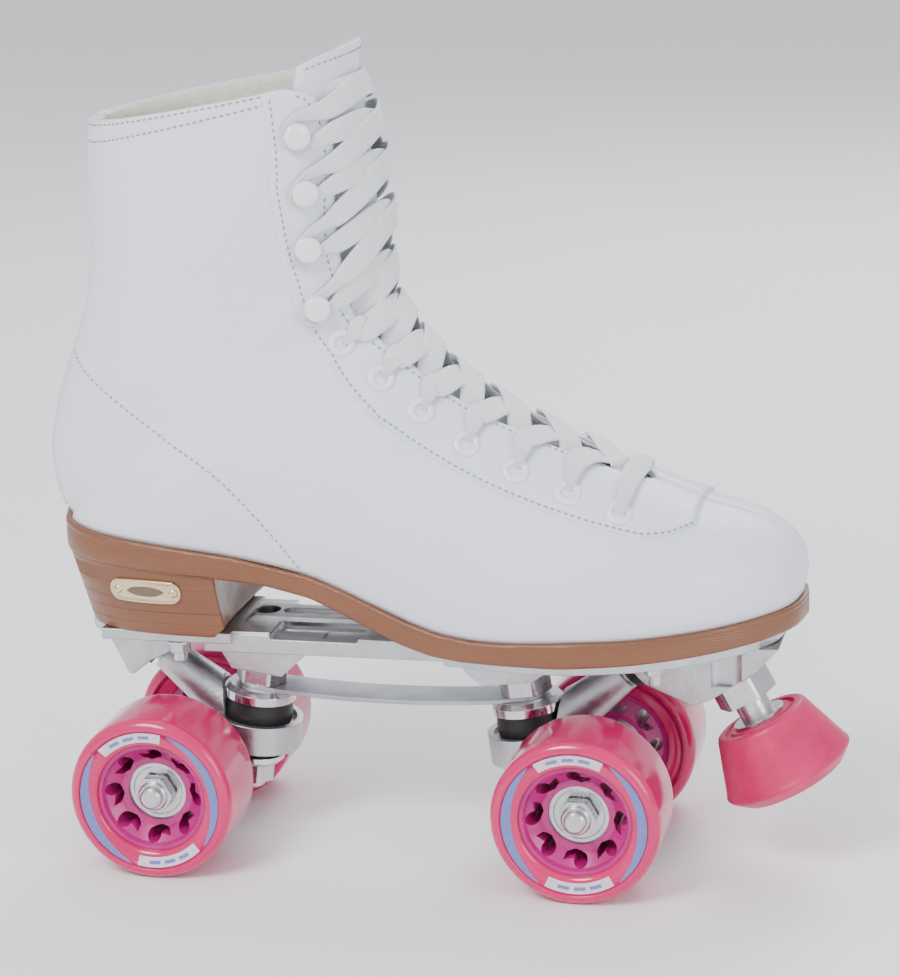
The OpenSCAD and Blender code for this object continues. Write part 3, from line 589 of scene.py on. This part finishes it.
def add_upper(looks):
    s_values = np.concatenate([np.linspace(0, 2, 22), np.linspace(2.1, LAST, 150)])
    for name, side in SIDES.items():
        piece = band(f"upper_{name}", s_values, lambda s: 0, gap_share, side, 44,
                     rolled_edge, -LEATHER)
        dress(piece, ROOT, "white_leather", looks["leather"], f"upper_{name}")
        facing = band(f"facing_{name}", np.linspace(4.0, LAST, 130), facing_share,
                      lambda s: gap_share(s) - 0.001, side, 16, edge_round(0.07, FACING_TOP, 0.1), 0.02)
        dress(facing, ROOT, "white_leather", looks["leather"], f"facing_{name}")
        lining = band(f"lining_{name}", np.linspace(2, LAST - 0.02, 90),
                      lambda s: 0.05 if s < HEEL_END else 0, lambda s: gap_share(s) - 0.012, side, 30,
                      lambda v: LINING_OUT, LINING_IN)
        dress(lining, ROOT, "lining_felt", looks["felt"], f"lining_{name}")


def add_backstay(looks):
    """A strip over the back seam in two halves, which thins out towards its edge."""
    s_values = np.linspace(HEEL_END + 0.2, LAST, 90)
    for name, side, nodes in (("backstay", 1, ["backstay"]), ("backstay_lateral", -1, [])):
        piece = band(name, s_values, lambda s: 0.0, lambda s: 0.075, side, 10,
                     lambda v: BACKSTAY_TOP * min(1, (1 - v) * 8) ** 0.5, 0.0)
        dress(piece, ROOT, "white_leather", looks["leather"], *nodes)


def add_tongue(looks):
    """A leather tongue with a felt back, which rises above the collar."""
    s_values = np.linspace(THROAT + 0.7, LAST, 80)
    reach = 46   # degrees from the ridge to each edge
    columns = 25
    rise_end = 10.0  # how far the leather stands above the last ring

    def row(s, off, lift):
        out = []
        for w in np.linspace(-1, 1, columns):
            angle = 90 - abs(w) * reach
            p = skin_at(s, angle, -1 if w < 0 else 1, off)
            fall = 0.3 * abs(w) ** 3
            out.append(p + lift * np.array([0.12, 0, 1 - fall]))
        return out

    lifts = np.linspace(0, 9.5, 10)[1:]

    def forward(s):
        # the upper end leans out between the facings
        return 5.2 * max(0, (s - 19) / (LAST - 19)) ** 1.5

    def sheet(outer, inner):
        rows = [row(s, outer + forward(s), 0) + row(s, inner + forward(s), 0)[::-1] for s in s_values]
        outer, inner = outer + forward(LAST), inner + forward(LAST)
        rows += [row(LAST, outer, k) + row(LAST, inner, k)[::-1] for k in lifts]
        centre = (outer + inner) / 2
        rows.append(row(LAST, centre + 0.3, rise_end) + row(LAST, centre - 0.3, rise_end)[::-1])
        return in_row(rows)

    face = grid_object("tongue", sheet(*TONGUE_LEATHER), wrap=True, caps=True)
    dress(face, ROOT, "white_leather", looks["leather"], "tongue")
    back = grid_object("tongue_lining", sheet(*TONGUE_FELT), wrap=True, caps=True)
    dress(back, ROOT, "lining_felt", looks["felt"])
    hem = []
    for w in np.linspace(-0.92, 0.92, 60):
        p = skin_at(LAST, 90 - abs(w) * reach, -1 if w < 0 else 1, 0.15)
        hem.append(p + 6.5 * np.array([0.12, 0, 1 - 0.3 * abs(w) ** 3]))
    stitches("tongue_stitches", [(in_row([p])[0], np.array([0.95, 0, 0.3])) for p in hem], looks, 2.6)


STITCH_LONG, STITCH_WIDE = 1.6, 0.7


def stitches(name, places, looks, pitch=2.5):
    """Short rounded stitches laid along a run of (place, normal) pairs in millimetres."""
    points = np.array([p for p, n in places])
    normals = np.array([n for p, n in places])
    runs = np.concatenate([[0], np.cumsum(np.linalg.norm(np.diff(points, axis=0), axis=1))])
    mesh = bmesh.new()
    for at in np.arange(pitch / 2, runs[-1], pitch):
        p = np.array([np.interp(at, runs, points[:, k]) for k in range(3)])
        q = np.array([np.interp(at + 0.3, runs, points[:, k]) for k in range(3)])
        n = Vector([np.interp(at, runs, normals[:, k]) for k in range(3)]).normalized()
        forward = Vector(q - p).normalized()
        side = n.cross(forward).normalized()
        upward = forward.cross(side)
        turn = Matrix((forward, side, upward)).transposed().to_4x4()
        scale = Matrix.Diagonal((STITCH_LONG / 2, STITCH_WIDE / 2, STITCH_WIDE / 2.4, 1))
        place = Matrix.Translation(Vector(p)) @ turn @ scale
        bmesh.ops.create_icosphere(mesh, subdivisions=2, radius=1, matrix=place)
    for vertex in mesh.verts:
        vertex.co *= MM
    piece = to_object(name, mesh)
    # the stitches take the thread colour with its painted stitch-hole shade
    dress(piece, ROOT, "white_leather", looks["thread_and_hole_shade"])


def find_on_skin(x, z, side):
    """The s and u of the surface point that is nearest to x and z, found by narrowing a grid."""
    best, span_s, span_u = (14.0, 0.4), 8.0, 0.4
    for _ in range(9):
        tries = [(min(max(best[0] + a * span_s, 0), LAST), min(max(best[1] + b * span_u, 0), 1))
                 for a in np.linspace(-1, 1, 7) for b in np.linspace(-1, 1, 7)]
        gaps = [math.hypot(*(skin(s, u, side, 0)[[0, 2]] - (x, z))) for s, u in tries]
        best = tries[int(np.argmin(gaps))]
        span_s, span_u = span_s * 0.5, span_u * 0.5
    return best


# the curved seam over the heel, x and z
COUNTER_SEAM = [[-110, 189], [-103.1, 183], [-77.7, 164.4], [-52.4, 147.3], [-34.6, 128.4], [-23.5, 113]]


def along_skin(s_values, share, side, off):
    out = []
    for s in s_values:
        place, normal, _ = skin_frame(s, share(s), side, off)
        out.append((in_row([place])[0], normal))
    return out


def add_seams(looks):
    for name, side in SIDES.items():
        outline = along_skin(np.linspace(4.05, 22.9, 150), lambda s: facing_share(s) + 0.018, side,
                             FACING_TOP)
        stitches(f"facing_stitches_{name}", outline, looks)
        edge = along_skin(np.linspace(6, 22.6, 120), lambda s: gap_share(s) - 0.03, side, 1.2)
        stitches(f"edge_stitches_{name}", edge, looks)
        for k, down in enumerate((0.13, 0.42)):
            run = []
            for v in np.linspace(0.03, gap_share(LAST) - 0.02, 90):
                place, normal, _ = skin_frame(LAST - 0.01, v, side, THREAD_UP)
                below, _, _ = skin_frame(LAST - down, v, side, THREAD_UP)
                run.append((in_row([below])[0], normal))
            stitches(f"collar_stitches_{name}_{k}", run, looks)
        run = []
        for x, z in spline(COUNTER_SEAM, 90):
            s, u = find_on_skin(x, z, side)
            place, normal, _ = skin_frame(s, u, side, THREAD_UP)
            run.append((in_row([place])[0], normal))
        stitches(f"counter_stitches_{name}", run, looks)


def add_eyelets(looks):
    profile = [[2.35, -1.6], [2.35, 0.4], [2.6, 0.85], [3.1, 1.1], [3.8, 1.1], [4.5, 0.8], [4.9, 0.3],
               [5.0, 0], [2.9, -0.05], [2.9, -1.6]]
    mesh = bmesh.new()
    for s in EYELETS:
        for side in SIDES.values():
            ring_points = revolve_points(profile + profile[:1], 36)
            grid_mesh(mesh, placed(ring_points, row_matrix(s, side, FACING_TOP)), wrap=True)
    weld(mesh)
    dress(to_object("eyelets", mesh), ROOT, "white_enamel", looks["enamel"], "eyelets")


def row_matrix(s, side, off):
    """A matrix in millimetres whose +Z is the boot's normal at the lacing row and +X runs up the row."""
    place, normal, along = skin_frame(s, row_share(s), side, off)
    z = Vector(normal)
    x = (Vector(along) - z * Vector(along).dot(z)).normalized()
    y = z.cross(x)
    return Matrix.Translation(Vector(in_row([place])[0])) @ Matrix((x, y, z)).transposed().to_4x4()


def add_hooks(looks):
    profile = [[0, 0], [4.0, 0], [4.2, 0.35], [3.9, 0.75], [2.6, 0.95], [2.25, 1.5], [2.2, 3.0], [2.7, 3.4],
               [4.4, 3.5], [4.75, 3.8], [4.6, 4.25], [3.6, 4.6], [1.8, 4.72], [0, 4.75]]
    mesh = bmesh.new()
    for s in HOOKS:
        for side in SIDES.values():
            grid_mesh(mesh, placed(revolve_points(profile, 40), row_matrix(s, side, 1.2)), wrap=True)
    weld(mesh)
    dress(to_object("lace_hooks", mesh), ROOT, "white_enamel", looks["enamel"], "lace_hooks")


FOOTBED_THICK = 5.1
FOOTBED_DISH = 1.2  # how far its edges curl up


def add_footbed(looks):
    rows = []
    for s in np.linspace(0.4, HEEL_END, 80):
        row = []
        for w in np.linspace(-1, 1, 21):
            side = -1 if w < 0 else 1
            p = skin(s, 0, side, FOOTBED_EDGE)
            centre = foot_bend(p[0])
            y = centre + (p[1] - centre) * abs(w)
            middle_z = np.interp(p[0], SOLE_TOP[:, 0], SOLE_TOP[:, 1]) + FOOTBED_THICK
            z = middle_z + FOOTBED_DISH * abs(w) ** 3
            row.append([p[0], y, z])
        rows.append(row)
    piece = grid_object("footbed", in_row(rows))
    dress(piece, ROOT, "footbed_foam", looks["felt"], "footbed")


# ---- laces ----
def row_angle(s):
    start = low_angle(ring(s, 0))
    return 90 - (start + (90 - start) * row_share(s))


def gap_angle(s):
    start = low_angle(ring(s, 0))
    return 90 - (start + (90 - start) * gap_share(s))


ROWS = EYELETS + HOOKS
LACE = 9.6            # width, millimetres
LACE_THICK = 1.25
MM_OF_S = 7.0         # along the hooks, one station is about this far
DEGREES_PER_MM = 1.5  # round the boot at the hooks


def crossing(k, side):
    """Route points (s, signed angle from the ridge, offset, width) from row k to the next row opposite."""
    s0, s1 = ROWS[k], ROWS[k + 1]
    a0, a1 = row_angle(s0), row_angle(s1)
    g0, g1 = gap_angle(s0), gap_angle(s1)
    top = 1.0 if side < 0 else -0.7  # a strap that leaves the lateral side lies on top
    step = s1 - s0
    out = []
    if k >= len(EYELETS):
        out.append([s0 + 0.2 * step, side * g0 * 0.98, 2.4, 0.85])
    else:
        out.append([s0, side * a0, -2.7, 0.5])
        out.append([s0 + 0.06 * step, side * (a0 + g0) / 2, -2.4, 0.75])
        out.append([s0 + 0.16 * step, side * g0 * 0.9, -1.7, 0.95])
    out.append([s0 + 0.34 * step, side * g0 * 0.45, top * 0.6 + 0.3, 1])
    out.append([s0 + 0.5 * step, 0, top + 0.5, 1])
    out.append([s0 + 0.66 * step, -side * g1 * 0.45, top * 0.6 + 0.8, 1])
    if k + 1 >= len(EYELETS):
        out.append([s1 - 0.24 * step, -side * g1 * 1.02, 2.5, 0.8])
        # round the neck: along the row and across it, in millimetres from the hook's centre
        for along, across, width in ((-3.5, -4.2, 0.5), (-3.5, 0, 0.36), (-1.6, 3.0, 0.3), (1.6, 3.0, 0.3),
                                     (3.5, 0, 0.36), (3.5, -4.2, 0.5)):
            out.append([s1 + along / MM_OF_S, -side * (a1 + across * DEGREES_PER_MM), 3.1, width])
    else:
        slope = (a1 - g1) / 11  # degrees for each millimetre across the facing
        out.append([s1 - 0.14 * step, -side * g1 * 1.0, 2.4, 0.95])
        for across, off, width in ((-7.5, 2.9, 0.9), (-5.0, 3.1, 0.62), (-2.8, 2.9, 0.42),
                                   (-1.2, 1.6, 0.34), (-0.4, -1.5, 0.32)):
            out.append([s1 - 0.004 * across, -side * (a1 + across * slope), off, width])
    return out


def lace_route(side):
    """One end of the lace, from the lowest eyelet of one side up to behind the tongue."""
    out = [[ROWS[0] - 0.06, 0, 2.0, 0.9], [ROWS[0] - 0.03, side * gap_angle(ROWS[0]) * 1.2, 2.3, 0.85],
           [ROWS[0], side * (row_angle(ROWS[0]) - 4), 2.9, 0.5],
           [ROWS[0], side * row_angle(ROWS[0]), -1.4, 0.4]]
    for k in range(len(ROWS) - 1):
        out += crossing(k, side)
        side = -side
    last = ROWS[-1]
    out += [[last + 0.45, side * gap_angle(last) * 0.98, 2.4, 0.8], [last + 0.75, side * 12, 0.6, 0.95],
            [last + 0.85, -side * 16, 0.4, 0.95], [last + 0.9, -side * gap_angle(last) * 0.95, -2.2, 0.85],
            [last + 0.9, -side * gap_angle(last) * 1.15, -3.4, 0.7]]
    return out


LACE_STEPS = 9      # cross-sections for each route point
# half of the lace's section, as shares of its width and thickness
LACE_TOP = [[-0.5, 0], [-0.47, 0.3], [-0.38, 0.44], [-0.2, 0.5], [0, 0.48], [0.2, 0.5], [0.38, 0.44],
            [0.47, 0.3]]
RIDGE_BLEND = 25    # degrees from the ridge within which the two sides' normals blend into one


def ribbon(mesh, route):
    fine = spline(route, (len(route) - 1) * LACE_STEPS + 1)
    places = np.array([skin_at(s, 90 - abs(a), -1 if a < 0 else 1, off) for s, a, off, w in fine])
    runs = np.concatenate([[0], np.cumsum(np.linalg.norm(np.diff(places, axis=0), axis=1))])
    section = LACE_TOP + [[-x, -z] for x, z in LACE_TOP]
    rows = []
    previous = None
    for i in range(len(places)):
        forward = places[min(i + 1, len(places) - 1)] - places[max(i - 1, 0)]
        forward /= np.linalg.norm(forward)
        s, a, off, w = fine[i]
        _, normal, _ = skin_frame(s, share_of_angle(s, 90 - abs(a)) - 0.02, -1 if a < 0 else 1, 0)
        if abs(a) < RIDGE_BLEND:
            _, left, _ = skin_frame(s, share_of_angle(s, 65), -1, 0)
            _, right, _ = skin_frame(s, share_of_angle(s, 65), 1, 0)
            share = (a + RIDGE_BLEND) / (2 * RIDGE_BLEND)
            normal = left * (1 - share) + right * share
        across = np.cross(normal, forward)
        across /= np.linalg.norm(across)
        if previous is not None and np.dot(previous, across) < 0:
            across = -across
        previous = 0.6 * previous + 0.4 * across if previous is not None else across
        previous /= np.linalg.norm(previous)
        up = np.cross(forward, previous)
        if np.dot(up, normal) < 0:
            up = -up
        width = LACE * w
        thick = LACE_THICK * (1 + 0.9 * (1 - w))
        rows.append([places[i] + previous * x * width + up * z * thick for x, z in section])
    v = [(x + 0.5) for x, z in section] + [0.0]
    grid_mesh(mesh, in_row(rows), wrap=True, caps=True, uv=(runs / LACE, v))


def add_laces(looks):
    mesh = bmesh.new()
    for side in SIDES.values():
        ribbon(mesh, lace_route(side))
    bmesh.ops.recalc_face_normals(mesh, faces=mesh.faces)
    dress(to_object("laces", mesh), ROOT, "lace_cotton", looks["lace"], "laces")


# ---- sole and heel ----
def add_outsole(looks):
    """The sole's edge: a thin welt on top, a groove, and a rounded lower corner."""
    profile = [(0.9, 0.0), (1.7, 0.02), (2.05, 0.1), (2.2, 0.22), (2.2, 0.7), (2.05, 0.76), (2.05, 0.8),
               (2.25, 0.86), (2.2, 0.95), (1.8, 1.0), (0.3, 1.0)]
    rows = []
    spans = [np.linspace(0, 2, 26), np.linspace(2.06, 12, 120), np.linspace(12.05, HEEL_END, 44)]
    for s in np.concatenate(spans):
        halves = []
        for side in (-1, 1):
            half = []
            for off, height in profile:
                p = skin(s, 0, side, off)
                low = np.interp(p[0], SOLE_LOW[:, 0], SOLE_LOW[:, 1])
                high = np.interp(p[0], SOLE_TOP[:, 0], SOLE_TOP[:, 1])
                half.append([p[0], p[1], low + height * (high - low)])
            halves.append(half)
        rows.append(halves[0] + halves[1][::-1])
    piece = grid_object("outsole", in_row(rows), wrap=True, caps=True)
    dress(piece, ROOT, "brown_sole", looks["sole"], "outsole")


HEEL_LOW = 85.0
HEEL_TOP = 114.5
BREAST = -58.5                     # x of the heel's front face
HEEL_LAYERS = [89.5, 94.2, 98.9, 103.4]
LAYER_GROOVE = 0.28
FLUTE = 0.3
FLUTES_FROM, FLUTES_TO = 104.5, 110.1
HOLLOW = 3.2                       # depth of the curve across the front face


def heel_offset(z):
    share = (z - HEEL_LOW) / (HEEL_TOP - HEEL_LOW)
    return -3 + share * 4.6, 3.5 * (1 - share)


def add_heel(looks):
    """A stacked heel: grooves between layers, a fluted band under the sole and a hollow front face."""
    s_values = np.linspace(heel_station(BREAST, HEEL_TOP), HEEL_END, 130)
    rows = []
    grooves = [z + d for z in HEEL_LAYERS for d in (-0.35, 0, 0.35)]
    band_edges = [104.2, 104.6, 110, 110.4]
    even = np.linspace(HEEL_LOW + 0.4, 112.5, 50).tolist()
    levels = sorted(set(even + grooves + band_edges))
    for z in [HEEL_LOW] + levels:
        off, shift = heel_offset(z)
        off -= 0.35 * max(0, 1 - (z - HEEL_LOW) / 0.5)
        groove = LAYER_GROOVE if min(abs(z - g) for g in HEEL_LAYERS) < 0.01 else 0
        left, right = [], []
        for n, s in enumerate(s_values):
            flute = FLUTE * (n % 2) if FLUTES_FROM < z < FLUTES_TO else 0
            for side, half in ((-1, left), (1, right)):
                p = skin(s, 0, side, off - groove - flute)
                half.append([p[0] + shift, p[1], z])
        front = left[0][0] + shift - (8 * max(0, 1 - (z - HEEL_LOW) / 6) if z < HEEL_LOW + 6 else 0)
        for half in (left, right):
            for p in half:
                p[0] = min(p[0], front)
        hollow = HOLLOW * math.sin(math.pi * min(1, max(0, (z - HEEL_LOW) / 27)))
        across = []
        for w in np.linspace(-1, 1, 18)[1:-1]:
            a, b = np.array(right[0]), np.array(left[0])
            p = a + (b - a) * (w + 1) / 2
            p[0] -= hollow * math.cos(w * math.pi / 2) ** 0.7
            across.append(p.tolist())
        rows.append(left + right[::-1] + across)
    piece = grid_object("heel_block", in_row(rows), wrap=True, caps=True)
    dress(piece, ROOT, "brown_sole", looks["sole_plain"], "heel_block")


def heel_station(x, z):
    base, shift = heel_offset(z)
    low, high = 8.0, HEEL_END
    for _ in range(30):
        s = (low + high) / 2
        if skin(s, 0, -1, base)[0] + shift > x:
            low = s
        else:
            high = s
    return s


def heel_wall(x, z, off):
    """A point on the heel's outer wall, x and z given in the last's own millimetres."""
    base, shift = heel_offset(z)
    p = skin(heel_station(x, z), 0, -1, base + off)
    return np.array([p[0] + shift, p[1], z])


def add_badge(looks):
    """A pale gold plate with a raised rim and a plain leaf-shaped panel, held by two rivets."""
    centre = (-84.5, 102.3)
    half_long, half_high = 14.2, 4.7
    rivet_reach = 11
    rows = []
    straight = half_long - half_high
    # from the middle out: share of the half height, and height off the heel
    for share, height in ((0, 0.62), (0.3, 0.62), (0.55, 0.6), (0.74, 0.6), (0.8, 0.9), (0.92, 0.95),
                          (0.98, 0.7), (1, 0.1)):
        ring_points = []
        for k in range(96):
            a = 2 * math.pi * k / 96
            c, s = math.cos(a), math.sin(a)
            spread = share if share < 0.5 else 1
            dx = math.copysign(straight, c) * min(1, abs(c) * 3) * spread + half_high * c * share
            p = heel_wall(centre[0] + dx, centre[1] + half_high * s * share, height)
            ring_points.append(p.tolist())
        rows.append(ring_points)
    piece = grid_object("badge", in_row(rows), wrap=True)
    dress(piece, ROOT, "badge_gold", looks["badge"], "badge")
    mesh = bmesh.new()
    for dx in (-rivet_reach, rivet_reach):
        p = heel_wall(centre[0] + dx, centre[1], 0.55)
        q = heel_wall(centre[0] + dx + 1, centre[1], 0.55)
        along = Vector(q - p).normalized()
        out = along.cross(Vector((0, 0.09, 1))).normalized()
        turn = Matrix((along, out.cross(along), out)).transposed().to_4x4()
        dome = [[1.7, 0], [1.6, 0.35], [1.2, 0.7], [0.6, 0.88], [0, 0.92]]
        seat = Matrix.Translation(Vector(in_row([p])[0])) @ turn
        grid_mesh(mesh, placed(revolve_points(dome, 24), seat), wrap=True)
    weld(mesh)
    dress(to_object("badge_rivets", mesh), ROOT, "badge_gold", looks["badge"], "badge_rivets")
    panel = []
    for share in np.linspace(-1, 1, 31):
        dx = share * 7.4
        tall = 1.9 * (1 - abs(share) ** 3)
        panel.append([heel_wall(centre[0] + dx, centre[1] + tall * v, 0.72).tolist()
                      for v in (-1, -0.5, 0, 0.5, 1)])
    dress(grid_object("badge_panel", in_row(panel)), ROOT, "badge_gold", looks["badge_dark"])


# ---- wheels ----
CORNER = 3.8        # radius of the tyre's rounded edges
PRINT_UP = 0.06     # height of a print above the tyre's face
PRINT_TURN = {("front", "lateral"): 4, ("rear", "lateral"): 16, ("front", "medial"): 60,
              ("rear", "medial"): 110}


def wheel_matrix(end, side):
    """Millimetres; +Z runs out along the axle from the skate's middle plane."""
    centre = middle(f"axle_{end}") / MM
    z = Vector((0, side, 0))
    x = Vector((0, 0, 1))
    y = z.cross(x)
    return Matrix.Translation(Vector((centre.x, 0, centre.z))) @ Matrix((x, y, z)).transposed().to_4x4()


def add_tyre(end, name, side, looks):
    r, h, core = wheel_radius / MM, wheel_width / MM, 20.4
    out = track_half / MM
    inn = out - h
    side_face = [[core, 2.6], [core + 0.3, 1.9], [core + 1.4, 1.3], [24, 0.75], [27, 0.3], [r - 4.2, 0.02]]
    corner = [[r - CORNER + CORNER * math.sin(a), CORNER - CORNER * math.cos(a)]
              for a in np.linspace(0.12, math.pi / 2, 9)]
    half = side_face + corner
    profile = [[p[0], inn + p[1]] for p in half] + [[p[0], out - p[1]] for p in half[::-1]]
    points = placed(revolve_points(profile + profile[:1], 160), wheel_matrix(end, side))
    piece = grid_object(f"tyre_{end}_{name}", points, wrap=True)
    dress(piece, f"wheel_{end}_{name}", "pink_urethane", looks["urethane"], f"tyre_{end}_{name}")


def face_height(radius):
    """How far the tyre's outer face stands in from its outermost plane at that radius."""
    return float(np.interp(radius, [20.4, 21.8, 24, 27, 27.5], [2.6, 1.3, 0.75, 0.3, 0.02]))


def face_patch(mesh, matrix, start, stop, inner, outer):
    """A printed patch on the tyre's outer face between two angles; inner and outer give its radii."""
    rows = []
    for t in np.linspace(0, 1, 60):
        angle = math.radians(start + (stop - start) * t)
        row = []
        for v in np.linspace(0, 1, 6):
            radius = inner(t) + (outer(t) - inner(t)) * v
            height = track_half / MM - face_height(radius) + PRINT_UP
            row.append([radius * math.cos(angle), radius * math.sin(angle), height])
        rows.append(row)
    grid_mesh(mesh, placed(np.array(rows), matrix))


def add_prints(end, name, side, looks):
    """Two pale plates across from each other and two blue crescents between them, all plain."""
    matrix = wheel_matrix(end, side)
    turn = PRINT_TURN[(end, name)]
    plates, marks, crescents = bmesh.new(), bmesh.new(), bmesh.new()
    for k in (0, 180):
        face_patch(plates, matrix, turn + k - 29, turn + k + 29, lambda t: 22.3, lambda t: 26.1)
        for shift in (-14, 0, 14):
            face_patch(marks, matrix, turn + k + shift - 5, turn + k + shift + 5, lambda t: 23.6,
                       lambda t: 24.9)
        face_patch(crescents, matrix, turn + k + 34, turn + k + 146,
                   lambda t: 26.2 - 3.4 * math.sin(math.pi * t) ** 0.7, lambda t: 26.3)
    for label, mesh, look in (("plates", plates, "print_pale"), ("marks", marks, "print_blue"),
                              ("crescents", crescents, "print_blue")):
        if label == "marks":
            # the marks lie on the plates
            for vertex in mesh.verts:
                vertex.co.y += side * 0.00005
        bmesh.ops.recalc_face_normals(mesh, faces=mesh.faces)
        dress(to_object(f"{label}_{end}_{name}", mesh), f"wheel_{end}_{name}", "pink_urethane",
              looks[look])


def add_wheels(looks):
    for end in ("front", "rear"):
        for name, side in SIDES.items():
            add_tyre(end, name, side, looks)
            add_prints(end, name, side, looks)


# ---- finishes for the CAD pieces that stay ----
def finish_nodes(looks):
    finishes = {
        "plate": "cast", "hanger_": "cast", "mounting_": "zinc", "kingpin": "zinc", "jam_nuts": "zinc",
        "axle_nuts": "zinc", "axle_": "zinc", "upper_cups": "chrome", "lower_cups": "chrome",
        "tie_strap": "strap", "upper_cushion": "black", "lower_cushion": "black", "pivot_cups": "black",
        "toe_stop_nut": "zinc", "toe_stop_washer": "zinc", "toe_stop_stem": "zinc", "toe_stop_rubber": "stop",
        "core_": "nylon", "bearing": "bearing", "lasting_board": "board", "heel_stiffener": "board"}
    for node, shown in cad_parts.items():
        for start, look in finishes.items():
            if node.startswith(start):
                shown.data.materials.clear()
                shown.data.materials.append(looks[look])
                break


def make_looks():
    return {
        "leather": leather_material(), "felt": felt_material(), "lace": lace_material(),
        "enamel": enamel_material(), "thread_and_hole_shade": thread_with_hole_shade_material(), "sole": sole_material(),
        "sole_plain": sole_material("brown_heel", 0.12),
        "cast": metal_material("cast_aluminium", (0.6, 0.61, 0.63), 0.3, 0.46, 0.0002, 700, 0.0007),
        "zinc": metal_material("zinc_steel", (0.66, 0.66, 0.67), 0.2, 0.36, 0.00004, 1600),
        "chrome": metal_material("chrome", (0.8, 0.8, 0.81), 0.06, 0.14),
        "strap": metal_material("grey_strap", (0.5, 0.52, 0.55), 0.34, 0.48, 0.0001, 800),
        "bearing": metal_material("bearing_steel", (0.68, 0.69, 0.71), 0.16, 0.28),
        "badge": metal_material("badge_gold", (0.82, 0.66, 0.42), 0.26, 0.4, 0.00008, 1500, 0),
        "badge_dark": print_material("badge_panel", (0.16, 0.11, 0.07)),
        "black": rubber_material("black_rubber", (0.012, 0.012, 0.013)),
        "stop": rubber_material("pink_rubber", (0.5, 0.012, 0.09), 0.34, 0.5),
        "urethane": urethane_material(), "nylon": nylon_material(), "board": sole_material("board", 0),
        "print_pale": print_material("print_pale", (0.72, 0.66, 0.74)),
        "print_blue": print_material("print_blue", (0.16, 0.2, 0.5))}


def main():
    add_camera()
    add_stage()
    looks = make_looks()
    add_upper(looks)
    add_backstay(looks)
    add_tongue(looks)
    add_seams(looks)
    add_eyelets(looks)
    add_hooks(looks)
    add_footbed(looks)
    add_laces(looks)
    add_outsole(looks)
    add_heel(looks)
    add_badge(looks)
    add_wheels(looks)
    finish_nodes(looks)


main()
